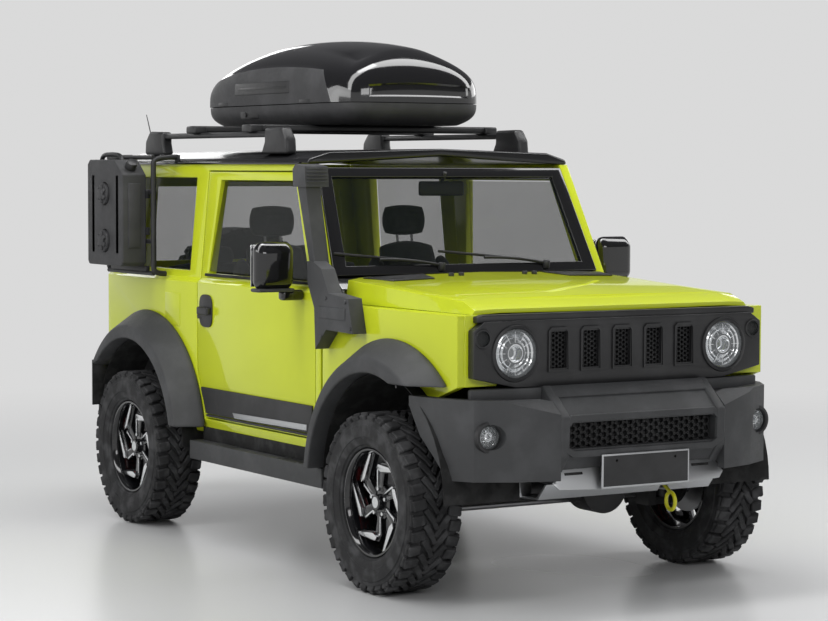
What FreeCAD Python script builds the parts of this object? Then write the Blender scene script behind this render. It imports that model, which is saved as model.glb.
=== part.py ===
"""Lifted off-road 4x4: one document, one object for each sub-part, one STEP file for each.

Frame: the car faces -Y and stands on z = 0, its left side is +X, and the origin is on the
ground halfway between the axles.  All sizes are millimetres.
"""
import FreeCAD, Part
import Sketcher
import math
import os

from FreeCAD import Placement, Rotation, Vector

doc = FreeCAD.newDocument("OffRoader")
sheet = doc.addObject("Spreadsheet::Sheet", "Sizes")

# ------------------------------------------------------------------ driving dimensions
# Each row: alias, size, what it measures.
DRIVING_SIZES = (
    ("wheelbase", 2250, "front axle to rear axle"),
    ("tyre_radius", 359, "ground to hub centre"),
    ("tyre_width", 232, "section width of a tyre"),
    ("tyre_track", 1490, "tyre centre to tyre centre"),
    ("rim_radius", 216, "outer lip of a rim"),
    ("rim_wall", 12, "thickness of the rim barrel"),
    ("hub_radius", 30, "spindle and hub bore"),
    ("running_gap", 0.3, "between pieces that turn on each other"),
    ("kingpin_half", 590, "centre plane to kingpin"),
    ("side_half", 735, "centre plane to the door skin"),
    ("roof_half", 668, "centre plane to the drip rail"),
    ("wall", 55, "whole thickness of a body side"),
    ("door_wall", 50, "whole thickness of a door"),
    ("sill_height", 474, "ground to the sill's lower edge"),
    ("belt_height", 1165, "ground to the window line"),
    ("gutter_height", 1690, "ground to the drip rail"),
    ("roof_height", 1758, "ground to the roof's crown"),
    ("body_rear", 1590, "origin to the back panel"),
    ("door_front", -492, "front edge of the side doors"),
    ("door_rear", 610, "rear edge of the side doors"),
    ("shut_gap", 6, "gap round a door, hood or lid"),
    ("screen_foot", -540, "windscreen's lower edge"),
    ("screen_lean", 26.5, "windscreen's lean in degrees"),
    ("screen_length", 505, "windscreen frame along its slope"),
    ("seam_height", 1118, "hood and wing seam"),
    ("hood_rear", -622, "rear edge of the hood"),
    ("hood_half", 664, "half width of the hood"),
    ("nose", -1645, "front face of the grille panel"),
    ("lamp_half", 501, "centre plane to headlamp centre"),
    ("lamp_height", 970, "ground to headlamp centre"),
    ("lamp_radius", 97, "headlamp lens"),
    ("slot_pitch", 151.5, "grille slot to grille slot"),
    ("bumper_front", -1795, "most forward face of the bumper"),
    ("bumper_half", 800, "half width over the bumper ends"),
    ("arch_radius", 474, "wheel arch opening"),
    ("arch_height", 398, "centre of the wheel arch above ground"),
    ("flare_band", 132, "height of the flare round an arch"),
    ("flare_half", 862, "half width over the flares"),
    ("rail_half", 400, "centre plane to the middle of a frame rail"),
    ("rail_width", 64, "width of a frame rail"),
    ("rail_bottom", 500, "ground to the frame rails"),
    ("rail_depth", 90, "height of a frame rail"),
    ("floor_thickness", 24, "floor pan"),
    ("box_length", 1470, "roof box"),
    ("box_width", 760, "roof box"),
    ("box_height", 396, "roof box, lid included"),
    ("box_front", -130, "front end of the roof box"),
    ("bar_top", 1866, "ground to the top of the crossbars"),
    ("spare_centre_x", 55, "spare wheel centre from the centre plane"),
    ("spare_height", 1012, "ground to the spare wheel's centre"),
)


class Size:
    """A length with its value and the spreadsheet formula that it comes from."""

    def __init__(self, value, formula):
        self.value = float(value)
        self.formula = formula

    def combined(self, other, sign, value):
        return Size(value, "(%s %s %s)" % (self.formula, sign, formula_of(other)))

    def __add__(self, other):
        return self.combined(other, "+", self.value + value_of(other))

    def __sub__(self, other):
        return self.combined(other, "-", self.value - value_of(other))

    def __mul__(self, other):
        return self.combined(other, "*", self.value * value_of(other))

    def __truediv__(self, other):
        return self.combined(other, "/", self.value / value_of(other))

    def __radd__(self, other):
        return Size(other, str(other)) + self

    def __rsub__(self, other):
        return Size(other, str(other)) - self

    def __rmul__(self, other):
        return self * other

    def __neg__(self):
        return Size(-self.value, "(0 - %s)" % self.formula)


def value_of(amount):
    """The number that a size or a plain number stands for."""
    return amount.value if isinstance(amount, Size) else float(amount)


def formula_of(amount):
    """The spreadsheet formula of a size, or a plain number as text."""
    return amount.formula if isinstance(amount, Size) else "(%.6f)" % amount


class Car:
    """The driving dimensions by name, each tied to its spreadsheet cell."""


for row, (alias, size, meaning) in enumerate(DRIVING_SIZES, start=1):
    sheet.set("A%d" % row, meaning)
    sheet.set("B%d" % row, str(size))
    sheet.setAlias("B%d" % row, alias)
doc.recompute()
car = Car()
for alias, size, meaning in DRIVING_SIZES:
    setattr(car, alias, Size(sheet.get(alias), "Sizes.%s" % alias))

NODES = []
SIDES = (("right", -1), ("left", 1))


# ------------------------------------------------------------------ ways of making
def span(side, inner, outer):
    """The low and high x of a piece between two distances from the centre plane."""
    return (inner, outer) if side > 0 else (-outer, -inner)


def ordered(first, second):
    """Two places with the lower first."""
    return (first, second) if value_of(first) < value_of(second) else (second, first)


def place(piece, x=0, y=0, z=0):
    """Ties a piece's place to the sheet."""
    for axis, amount in zip("xyz", (x, y, z)):
        piece.setExpression("Placement.Base.%s" % axis, formula_of(amount))


def block(x, y, z, name="Block"):
    """A box between three pairs of low and high values."""
    piece = doc.addObject("Part::Box", name)
    for side, (low, high) in zip(("Length", "Width", "Height"), (x, y, z)):
        piece.setExpression(side, formula_of(high - low))
    place(piece, x[0], y[0], z[0])
    return piece


AXIS_TURNS = {
    "x": Rotation(Vector(0, 1, 0), 90),
    "y": Rotation(Vector(1, 0, 0), -90),
    "z": Rotation(),
}


def rod(axis, radius, length, x, y, z, name="Rod"):
    """A cylinder that starts at x, y, z and runs along a positive axis."""
    piece = doc.addObject("Part::Cylinder", name)
    piece.setExpression("Radius", formula_of(radius))
    piece.setExpression("Height", formula_of(length))
    piece.Placement = Placement(Vector(), AXIS_TURNS[axis])
    place(piece, x, y, z)
    return piece


def cone(axis, first_radius, last_radius, length, x, y, z, name="Cone"):
    """A cone that starts at x, y, z and runs along a positive axis."""
    piece = doc.addObject("Part::Cone", name)
    piece.setExpression("Radius1", formula_of(first_radius))
    piece.setExpression("Radius2", formula_of(last_radius))
    piece.setExpression("Height", formula_of(length))
    piece.Placement = Placement(Vector(), AXIS_TURNS[axis])
    place(piece, x, y, z)
    return piece


def fuse(pieces, name="Fusion"):
    """Joins pieces that touch into one."""
    piece = doc.addObject("Part::MultiFuse", name)
    piece.Shapes = pieces
    piece.Refine = True
    return piece


def cut(base, tools, name="Cut"):
    """Takes each tool away from a base."""
    for tool in tools:
        piece = doc.addObject("Part::Cut", name)
        piece.Base = base
        piece.Tool = tool
        base = piece
    return base


def group(pieces, name="Group"):
    """Like pieces on one body that don't touch, kept as one sub-part."""
    piece = doc.addObject("Part::Compound", name)
    piece.Links = pieces
    return piece


def reflected(source, name="Mirror"):
    """The same piece on the other side of the centre plane."""
    piece = doc.addObject("Part::Mirroring", name)
    piece.Source = source
    piece.Normal = Vector(1, 0, 0)
    return piece


PLANES = {"XY": ("XY_Plane", 1), "XZ": ("XZ_Plane", -1), "YZ": ("YZ_Plane", 1)}


def outline(sketch, corners):
    """One closed outline of straight edges, each corner tied to the sheet."""
    first = sketch.GeometryCount
    count = len(corners)
    points = [Vector(value_of(u), value_of(v), 0) for u, v in corners]
    for index in range(count):
        sketch.addGeometry(Part.LineSegment(points[index], points[(index + 1) % count]), False)
    bonds = []
    for index in range(count):
        bonds.append(Sketcher.Constraint("Coincident", first + index, 2,
                                         first + (index + 1) % count, 1))
    sketch.addConstraint(bonds)
    for index, (u, v) in enumerate(corners):
        for kind, amount in (("DistanceX", u), ("DistanceY", v)):
            number = sketch.addConstraint(
                Sketcher.Constraint(kind, -1, 1, first + index, 1, value_of(amount)))
            if isinstance(amount, Size):
                sketch.setExpression("Constraints[%d]" % number, amount.formula)


def sketch_on(body, plane, offset, outlines):
    """A sketch of closed outlines on one of a body's own planes."""
    role, sign = PLANES[plane]
    sketch = body.newObject("Sketcher::SketchObject", "Outline")
    origin_plane = [item for item in body.Origin.OriginFeatures if item.Role == role][0]
    sketch.AttachmentSupport = [(origin_plane, "")]
    sketch.MapMode = "FlatFace"
    sketch.setExpression("AttachmentOffset.Base.z", formula_of(offset * sign))
    for corners in outlines:
        outline(sketch, corners)
    return sketch


def prism(plane, corners, reach, holes=(), name="Panel"):
    """A padded outline from reach[0] to reach[1] along the plane's axis, with holes."""
    body = doc.addObject("PartDesign::Body", name)
    low, high = reach
    start = low if PLANES[plane][1] > 0 else high
    sketch = sketch_on(body, plane, start, (corners,) + tuple(holes))
    pad = body.newObject("PartDesign::Pad", "Pad")
    pad.Profile = sketch
    pad.setExpression("Length", formula_of(high - low))
    return body


def pocket(body, plane, corners, reach):
    """Cuts an outline out of a body between two places along the plane's axis."""
    low, high = reach
    sign = PLANES[plane][1]
    sketch = sketch_on(body, plane, high if sign > 0 else low, (corners,))
    hole = body.newObject("PartDesign::Pocket", "Pocket")
    hole.Profile = sketch
    hole.setExpression("Length", formula_of(high - low))
    return body


def loft(sections, name="Loft"):
    """A straight-sided solid through closed sections of points with equal counts."""
    wires = []
    for points in sections:
        corners = [Vector(*[value_of(amount) for amount in point]) for point in points]
        wires.append(Part.makePolygon(corners + corners[:1]))
    piece = doc.addObject("Part::Feature", name)
    piece.Shape = Part.makeLoft(wires, True, True)
    return piece


def node(piece, label):
    """Names a finished sub-part."""
    piece.Label = label
    NODES.append(piece)
    return piece


# ------------------------------------------------------------------ places shared by pieces
front_axle_y = -car.wheelbase / 2
rear_axle_y = car.wheelbase / 2
wheel_half = car.tyre_track / 2
hub_height = car.tyre_radius
rail_inner = car.rail_half - car.rail_width / 2
rail_outer = car.rail_half + car.rail_width / 2
rail_top = car.rail_bottom + car.rail_depth
floor_top = rail_top + car.floor_thickness
wall_inner = car.side_half - car.wall
screen_head = car.screen_foot + 230
glass_half = car.roof_half + 12
box_rear = car.box_front + car.box_length
wheelhouse_inner = wheel_half - car.tyre_width / 2 - 40


def frame_rails():
    """Two straight rails, joined by cross members, with a nose plate for the tow eye."""
    pieces = []
    for _, side in SIDES:
        pieces.append(block(span(side, rail_inner, rail_outer), (-1560, 1540),
                            (car.rail_bottom, rail_top)))
    for y in (-1540, 260, 900, 1500):
        pieces.append(block((-rail_inner, rail_inner), (y, y + 40),
                            (car.rail_bottom + 10, rail_top - 10)))
    node(fuse(pieces), "chassis_frame")


def floor_pan():
    """Floor, toe board and the boxes over the rear wheels."""
    arch = car.arch_radius + 22
    half = car.side_half - 70
    corners = [(half, -520), (half, rear_axle_y - arch), (wheelhouse_inner, rear_axle_y - arch),
               (wheelhouse_inner, rear_axle_y + arch - 66), (half, rear_axle_y + arch - 66),
               (half, 1560)]
    corners += [(-x, y) for x, y in reversed(corners)]
    pieces = [prism("XY", corners, (rail_top, floor_top))]
    pieces.append(block((-wall_inner + 12, wall_inner - 12), (-560, -520), (rail_top, 1105)))
    for _, side in SIDES:
        low, high = rear_axle_y - arch, rear_axle_y + arch - 66
        pieces.append(block(span(side, wheelhouse_inner - 18, wheelhouse_inner), (low, high),
                            (floor_top - 5, 930)))
        pieces.append(block(span(side, wheelhouse_inner - 18, wall_inner - 8), (low, high),
                            (912, 930)))
    node(fuse(pieces), "floor_pan")


def body_sides():
    """Each side is one pressing: sill, pillars, roof rail and rear quarter, openings cut."""
    for name, side in SIDES:
        section = [(wall_inner + 8, car.sill_height), (car.side_half - 20, car.sill_height),
                   (car.side_half, car.sill_height + 60), (car.side_half, car.belt_height - 12),
                   (car.side_half - 20, car.belt_height + 8), (car.roof_half, car.gutter_height),
                   (car.roof_half - car.wall + 10, car.gutter_height),
                   (wall_inner - 5, car.belt_height + 8), (wall_inner + 8, car.belt_height - 30)]
        section = [(x * side, z) for x, z in section]
        body = prism("XZ", section, (car.screen_foot, car.body_rear))
        across = span(side, 500, 800)
        gap = car.shut_gap
        pocket(body, "YZ", door_outline(-gap), across)
        pocket(body, "YZ", [(730, car.belt_height + 38), (1420, car.belt_height + 38),
                            (1400, 1628), (730, 1628)], across)
        pocket(body, "YZ", [(-700, 1135), (car.screen_foot - 10, 1135), (car.screen_foot, 1200),
                            (screen_head + 20, 1720), (-700, 1720)], across)
        arch = rod("x", car.arch_radius, 400, across[0], rear_axle_y, car.arch_height)
        leaves = [block(span(side, 700, 722), (car.door_front - 7, car.door_front - 0.3),
                        (z, z + 60)) for z in (640, 1010)]
        tail = block(across, (rear_axle_y + 300, car.body_rear + 10), (400, 640))
        node(fuse([cut(body, [arch, tail])] + leaves), "%s_body_side" % name)


def door_outline(grown):
    """A side door's outline, grown by a gap, in the plane of the car's length and height."""
    return [(car.door_front + grown, 545 + grown), (525 - grown, 545 + grown),
            (550 - grown, 620), (583 - grown, 690), (car.door_rear - grown, 752),
            (car.door_rear - grown, 1655 - grown), (-235 + grown, 1655 - grown),
            (car.door_front + 22 + grown, 1185), (car.door_front + grown, 1150)]


def side_doors():
    """A front door with its window cut, its pane and its mirror."""
    for name, side in SIDES:
        outer = car.side_half - 0.5
        section = [(outer - car.door_wall, 520), (outer, 520), (outer, car.belt_height - 12),
                   (outer - 20, car.belt_height + 8), (car.roof_half + 1, 1672),
                   (car.roof_half - 38, 1672), (outer - 62, car.belt_height + 8),
                   (outer - car.door_wall, car.belt_height - 30)]
        section = [(x * side, z) for x, z in section]
        slab = prism("XZ", section, (-500, 620))
        across = span(side, 500, 800)
        shape = prism("YZ", door_outline(0), across)
        window = prism("YZ", [(-405, 1195), (545, 1195), (490, 1618), (-212, 1618)], across)
        door = doc.addObject("Part::MultiCommon", "DoorShape")
        door.Shapes = [slab, shape]
        node(cut(door, [window]), "%s_door" % name)
        pane = [(outer - 34, 1205), (outer - 29, 1205), (car.roof_half - 14, 1612),
                (car.roof_half - 19, 1612)]
        pane = prism("XZ", [(x * side, z) for x, z in pane], (-500, 620))
        light = prism("YZ", [(-404.7, 1195.3), (544.7, 1195.3), (489.7, 1617.7), (-211.7, 1617.7)], across)
        glass = doc.addObject("Part::MultiCommon", "Pane")
        glass.Shapes = [pane, light]
        node(glass, "%s_door_window" % name)
        arm = block(span(side, car.side_half - 0.3, 800), (-405, -355), (1118, 1166))
        shell = loft([[(side * x, y, z) for y, z in
                       ((-420, 1172), (-330, 1160), (-330, 1368), (-415, 1360))]
                      for x in (780, 962)])
        node(fuse([arm, shell]), "%s_mirror" % name)


def quarter_windows():
    """Fixed panes behind the doors."""
    panes = []
    for _, side in SIDES:
        section = [(706, 1205), (711, 1205), (681, 1626), (676, 1626)]
        panes.append(prism("XZ", [(x * side, z) for x, z in section], (730.3, 1399.7)))
    node(group(panes), "quarter_windows")


def front_wings():
    """The wings: an upright skin with its wheel arch and a flange under the hood's edge."""
    wings = []
    for _, side in SIDES:
        skin = prism("YZ", [(-1598, 845), (-1598, car.seam_height), (-556, car.seam_height),
                            (-556, 500), (-600, 500)], span(side, 702, car.side_half))
        flange = block(span(side, 625, 702), (-1598, -612.4), (car.seam_height - 20, car.seam_height))
        cheek = block(span(side, 560, 702), (-1602.7, -1575), (845, car.seam_height))
        bearer = block(span(side, 625, 645), (-1598, -612.4), (car.seam_height - 60, car.seam_height))
        arch = rod("x", car.arch_radius, 400, span(side, 400, 800)[0], front_axle_y, car.arch_height)
        wings.append(cut(fuse([skin, flange, cheek, bearer]), [arch]))
    node(group(wings), "front_wings")


def leaning(piece):
    """Sets a piece that was drawn upright at the windscreen's foot and lean."""
    piece.Placement = Placement(Vector(), Rotation(Vector(-1, 0, 0), car.screen_lean.value))
    piece.setExpression("Placement.Rotation.Angle", car.screen_lean.formula)
    place(piece, 0, car.screen_foot, car.belt_height + 60)
    return piece


def windscreen():
    """Cowl, screen frame and pane."""
    length = car.screen_length
    foot, head = wall_inner - 12, car.roof_half - car.wall + 10.5
    ring = prism("XZ", [(-foot, 0), (foot, 0), (head, length), (-head, length)], (0, 28),
                 [[(-600, 45), (600, 45), (566, length - 45), (-566, length - 45)]])
    cowl = prism("YZ", [(-612, 1128), (-560, 1105.3), (-520, 1105.3), (-500, 1205), (-548, 1212),
                        (-606, 1172)], (-wall_inner + 9.3, wall_inner - 9.3))
    node(group([leaning(ring), cowl]), "windscreen_frame")
    pane = prism("XZ", [(-599, 46), (599, 46), (565, length - 46), (-565, length - 46)], (8, 14))
    node(group([leaning(pane)]), "windscreen")


def roof():
    """A crowned roof skin, flat along the car."""
    top, low = car.roof_height, car.gutter_height
    section = [(-car.roof_half, low + 0.3), (-car.roof_half + 6, low + 22), (-560, top - 16),
               (0, top), (560, top - 16), (car.roof_half - 6, low + 22),
               (car.roof_half, low + 0.3), (car.roof_half - 60, low + 0.3), (0, top - 34),
               (-car.roof_half + 60, low + 0.3)]
    node(prism("XZ", section, (screen_head + 4, car.body_rear)), "roof_panel")


def hood():
    """A raised hood that falls to the nose, open below."""
    half, seam = car.hood_half, car.seam_height
    # y, height of the side crease, height of the middle
    stations = ((-1588, 1134, 1142), (-1500, 1166, 1178), (-622, 1212, 1232))
    sections = []
    for y, crease, middle in stations:
        y = car.hood_rear if y == -622 else y
        rise = [(half, seam + 0.3), (half - 14, crease), (half - 90, (crease + middle) / 2)]
        inner = [(half - 120, (crease + middle) / 2 - 16), (half - 30, seam + 0.3)]
        points = rise + [(0, middle)] + [(-x, z) for x, z in reversed(rise)]
        points += [(-x, z) for x, z in reversed(inner)] + [(0, middle - 24)] + inner
        sections.append([(x, y, z) for x, z in points])
    node(loft(sections), "hood")


def nose():
    """Grille panel with slots and lamp holes, and the lamps that fill them."""
    face = car.nose
    holes = []
    for index in range(-2, 3):
        middle = car.slot_pitch * index
        holes.append([(middle - 40, 906), (middle + 40, 906), (middle + 40, 1047),
                      (middle - 40, 1047)])
    plate = prism("XZ", [(-car.lamp_half, 839), (car.lamp_half, 839), (690, 880), (690, 1060),
                         (640, 1094), (-640, 1094), (-690, 1060), (-690, 880)],
                  (face, face + 42), holes)
    tools = []
    lamps = []
    for _, side in SIDES:
        gap = car.running_gap
        x = car.lamp_half * side
        tools.append(rod("y", car.lamp_radius + gap, 200, x, face - 80, car.lamp_height))
        lamps.append(rod("y", car.lamp_radius, 40, x, face + 2, car.lamp_height))
        tools.append(rod("y", 31 + gap, 200, 650 * side, face - 80, 1030))
        lamps.append(rod("y", 31, 40, 650 * side, face + 2, 1030))
        lamps.append(rod("y", 47, 50, 642 * side, -1672, 660))
    panel = cut(plate, tools)
    node(group(lamps), "front_lamps")
    mesh = block((-390, 390), (face + 42.3, face + 46), (880, 1080))
    node(group([panel, mesh]), "grille_panel")


def front_bumper():
    """A shell bumper with a wide mouth and wings that wrap towards the wheels."""
    front, end = car.bumper_front, car.bumper_half
    centre = prism("YZ", [(-1672, 838), (front, 729), (front + 8, 588), (front + 90, 470),
                          (-1640, 470), (-1640, 500), (front + 130, 588), (front + 110, 715),
                          (-1640, 800), (-1610, 838)], (-392, 392))
    mouth = block((-350, 350), (front - 50, -1600), (608, 708))
    pieces = [centre]
    fogs = []
    for _, side in SIDES:
        plan = [(392, front), (560, front + 52), (700, front + 132), (end - 30, front + 245),
                (end, front + 450), (end - 42, front + 450), (end - 76, front + 260),
                (662, front + 172), (540, front + 104), (392, front + 60)]
        wing = prism("XY", [(x * side, y) for x, y in plan], (490, 800))
        trim = prism("YZ", [(-1250, 832), (-1340, 772), (-1412, 650), (-1492, 575), (-1597, 480),
                            (-1250, 480)], span(side, 380, 900))
        slope = prism("YZ", [(-1850, 700), (-1672, 838), (-1500, 838), (-1500, 900),
                             (-1850, 900)], span(side, 380, 900))
        shelf = prism("XY", [(392 * side, front + 30), (392 * side, -1612), (690 * side, -1612),
                             (700 * side, front + 150)], (770, 790))
        pieces.append(cut(fuse([wing, shelf]), [trim, slope]))
        pieces.append(block(span(side, 388, 400), (front + 66, -1640), (500, 770)))
        fogs.append(rod("y", 47.5, 300, 642 * side, -1800, 660))
        arm = block(span(side, rail_inner, rail_outer - 10), (-1700, -1560),
                    (rail_top - 60, rail_top))
        pieces.append(arm)
    node(cut(fuse(pieces), [mouth] + fogs), "front_bumper")


def nose_fittings():
    """Skid plate, blank number plate and the tow eye."""
    front = car.bumper_front
    skid = prism("YZ", [(front + 70, 469), (front + 125, 404), (front + 135, 404),
                        (-1560, 400), (-1560, 408), (front + 138, 412), (front + 80, 469)],
                 (-412, 412))
    lugs = [block(span(side, rail_inner, rail_outer), (-1558, -1530), (404, car.rail_bottom))
            for _, side in SIDES]
    shelf = block((-412, 412), (-1562, -1530), (400, 408))
    slot = block((158, 198), (-1800, -1500), (380, 480))
    node(cut(fuse([skid, shelf] + lugs), [slot]), "skid_plate")
    bracket = block((-60, 60), (front - 8, front + 6.5), (560, 604))
    node(fuse([bracket, block((-210, 210), (front - 12, front - 8), (449, 582))]), "number_plate")


def tow_eyes():
    """A welded eye on a rail's nose and one on its tail, bored for a shackle pin."""
    eyes = []
    for y, way in ((-1600, -1), (1560, 1)):
        lug = prism("YZ", [(y, 440), (y + 110 * way, 330), (y + 175 * way, 345),
                           (y + 175 * way, 400), (y + 60 * way, 465), (y, 465)][::way],
                    (170, 186))
        strap = block((170, 186), ordered(y, y - 95 * way), (440, car.rail_bottom + 10))
        bore = rod("x", 20, 60, 150, y + 130 * way, 372)
        eyes.append(cut(fuse([lug, strap]), [bore]))
    node(group(eyes), "tow_eyes")


def fender_flares():
    """Four flares: bands round the wheel arches, trimmed where the bumper and sill meet them."""
    flares = []
    outer = car.arch_radius + car.flare_band
    for _, side in SIDES:
        across = span(side, car.side_half + 0.5, car.flare_half)
        thick = across[1] - across[0]
        for y, low_front, low_rear in ((front_axle_y, 842, 445), (rear_axle_y, 500, 745)):
            flat = 22
            shoulder = cone("x", outer - (72 if side < 0 else 0), outer - (0 if side < 0 else 72),
                            thick - flat, across[0] + (0 if side < 0 else flat), y, car.arch_height)
            root = rod("x", outer, flat, across[1] - flat if side < 0 else across[0], y,
                       car.arch_height)
            band = fuse([root, shoulder])
            hole = rod("x", car.arch_radius, thick + 20, across[0] - 10, y, car.arch_height)
            tools = [hole, block((across[0] - 5, across[1] + 5), (y - 700, y), (-300, low_front)),
                     block((across[0] - 5, across[1] + 5), (y, y + 700), (-300, low_rear)),
                     block((across[0] - 5, across[1] + 5), (y - 700, y + 700), (1008, 1200))]
            flares.append(cut(band, tools))
    node(group(flares), "fender_flares")


def rock_sliders():
    """A step bar below each sill on three brackets from the frame rail."""
    bars = []
    for _, side in SIDES:
        pieces = [block(span(side, 696, 782), (-630, 600), (354, 438))]
        for y in (-520, 0, 480):
            corners = [(rail_outer - 50, car.rail_bottom), (rail_outer, car.rail_bottom),
                       (rail_outer, 452), (720, 452), (720, 430), (rail_outer - 50, 430)]
            pieces.append(prism("XZ", [(x * side, z) for x, z in corners], (y, y + 40)))
        bars.append(fuse(pieces))
    node(group(bars), "rock_sliders")


def snorkel():
    """Raised air intake on the right wing and pillar."""
    side = -1
    base = prism("YZ", [(-918, 1010), (-880, 1150), (-720, 1165), (-660, 1262), (-590, 1290),
                        (-540, 1290), (-545, 1200), (-600, 1100), (-610, 930), (-700, 1015)],
                 span(side, car.side_half + 0.3, 800))
    pipe = prism("YZ", [(-590, 1280), (-545, 1280), (-440, 1600), (-510, 1600)],
                 span(side, 722, 790))
    head = prism("YZ", [(-530, 1595), (-420, 1595), (-415, 1668), (-440, 1690), (-520, 1680)],
                 span(side, 690, 800))
    clip = prism("YZ", [(-480, 1560), (-420, 1560), (-410, 1590), (-470, 1590)],
                 span(side, 690, 730))
    node(fuse([base, pipe, head, clip]), "snorkel")


def roof_rack():
    """Side rails on feet, and two crossbars."""
    rails = []
    rail_top_height = car.bar_top - 32
    for _, side in SIDES:
        foot = car.roof_height - 24.7
        rails.append(prism("YZ", [(-30, foot), (70, foot), (130, rail_top_height - 26),
                                  (1230, rail_top_height - 26), (1270, foot), (1370, foot),
                                  (1300, rail_top_height), (30, rail_top_height)],
                           span(side, 590, 622)))
    node(group(rails), "roof_rails")
    bars = [block((-650, 650), (y - 32, y + 32), (rail_top_height, car.bar_top)) for y in (290, 850)]
    node(group(bars), "roof_crossbars")


def box_ring(width, front, rear, taper):
    """Half of the roof box's plan, mirrored to a closed ring with a narrowed front."""
    half = width / 2
    right = [(half * 0.78, front), (half * 0.94, front + taper * 0.12), (half, front + taper * 0.4),
             (half, rear - 90), (half - 60, rear)]
    return [(x, y) for x, y in right] + [(-x, y) for x, y in reversed(right)]


def roof_box():
    """A closed box: a tray on the crossbars and a lid hinged along its left side."""
    bottom = car.bar_top.value
    tall = car.box_height.value
    width = car.box_width.value
    front = car.box_front.value
    rear = box_rear.value
    split = bottom + tall * 0.24
    # height, width left out, front set back, rear set back
    tray = ((bottom, 120, 90, 40), (split, 0, 0, 0))
    lid = ((split + 0.3, 0, 0, 0), (bottom + tall * 0.64, 16, 20, 24),
           (bottom + tall * 0.86, 110, 170, 310), (bottom + tall, 260, 400, 600))
    for name, levels, wall in (("roof_box_tray", tray, 6), ("roof_box_lid", lid, 6)):
        shells = []
        for inset in (0, wall):
            rings = []
            for index, (height, narrow, front_back, rear_back) in enumerate(levels):
                floor = name == "roof_box_tray" and index == 0
                ceiling = name == "roof_box_lid" and index == len(levels) - 1
                lift = inset if floor else -inset if ceiling else 0
                ring = box_ring(width - narrow - 2 * inset, front + front_back + inset,
                                rear - rear_back - inset, 260)
                rings.append([(x, y, height + lift) for x, y in ring])
            shells.append(loft(rings))
        node(cut(shells[0], [shells[1]]), name)


def side_rack():
    """A tube frame on the right rear side, hung from the gutter, and its fuel can."""
    side = -1
    tube = 13
    x = -(car.side_half.value + 62)
    pieces = []
    for y in (940, 1440):
        pieces.append(rod("z", tube, 560, x, y, 1168))
        pieces.append(rod("x", tube, 128, x, y, 1720))
        pieces.append(block((-car.roof_half - 12, -car.roof_half - 0.3), (y - 20, y + 20),
                            (car.gutter_height + 0.3, 1732)))
        pieces.append(rod("x", tube, 62, x, y, 1182))
    for z in (1182, 1330, 1560, 1720):
        pieces.append(rod("y", tube, 500, x, 940, z))
    pieces.append(block((x - 20, x + 5), (990, 1385), (1190, 1214)))
    node(fuse(pieces), "side_rack")
    low, high = x - 136, x - tube - 0.3
    can = prism("YZ", [(1010, 1215), (1370, 1215), (1385, 1230), (1385, 1690), (1360, 1710),
                       (1080, 1710), (990, 1640), (990, 1230)], (low, high))
    knobs = [rod("x", 52, 14, low - 0.01, 1190, z) for z in (1330, 1550)]
    node(cut(can, knobs), "fuel_can")


def cabin_fittings():
    """Dashboard, seats, steering column and wheel."""
    dash = prism("YZ", [(-519.7, 830), (-519.7, 1104), (-498, 1104), (-498, 1150),
                        (-420, 1175), (-300, 1130), (-290, 950), (-400, 830)], (-620, 620))
    plane = Rotation(Vector(1, 0, 0), -65)
    centre = Vector(365, -196, 1028)
    column = doc.addObject("Part::Cylinder", "Column")
    column.Radius = 24
    column.Height = 110
    column.Placement = Placement(centre + plane.multVec(Vector(0, 0, -140.3)), plane)
    node(fuse([dash, column]), "dashboard")
    seats = []
    for _, side in SIDES:
        pieces = [block(span(side, 130, 580), (-60, 420), (720, 850)),
                  prism("YZ", [(400, 800), (520, 800), (640, 1330), (560, 1350), (400, 850)],
                        span(side, 130, 580)),
                  block(span(side, 240, 470), (560, 650), (1300, 1500)),
                  block(span(side, 200, 510), (0, 380), (floor_top, 720))]
        seats.append(fuse(pieces))
    node(group(seats), "front_seats")
    bench = [block((-540, 540), (900, 1280), (floor_top, 840)),
             prism("YZ", [(1240, 800), (1340, 800), (1430, 1300), (1340, 1310)], (-540, 540))]
    node(fuse(bench), "rear_seat")
    wheel = doc.addObject("Part::Torus", "WheelRing")
    wheel.Radius1 = 182
    wheel.Radius2 = 15
    hub = doc.addObject("Part::Cylinder", "WheelHub")
    hub.Radius = 50
    hub.Height = 40
    hub.Placement = Placement(Vector(0, 0, -30), Rotation())
    spokes = []
    for turn in (0, 90, 180):
        spoke = doc.addObject("Part::Box", "WheelSpoke")
        spoke.Length = 150
        spoke.Width = 36
        spoke.Height = 12
        angle = Rotation(Vector(0, 0, 1), turn - 180)
        spoke.Placement = Placement(angle.multVec(Vector(35, -18, -10)), angle)
        spokes.append(spoke)
    ring = fuse([wheel, hub] + spokes)
    ring.Placement = Placement(centre, plane)
    node(ring, "steering_wheel")


def power_unit():
    """One plain block for the engine on its two mounts, and the shafts to the axles."""
    mass = block((-230, 230), (-1440, -720), (rail_top + 16, 1040))
    mounts = block((-car.rail_half, car.rail_half), (-1120, -1060), (rail_top, rail_top + 40))
    node(fuse([mass, mounts]), "engine_block")
    gearbox = block((-90, 90), (-719.5, -300), (440, rail_top - 0.3))
    hanger = block((-rail_inner, rail_inner), (-440, -400), (rail_top - 70, rail_top - 20))
    node(fuse([gearbox, hanger]), "transfer_case")


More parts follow.
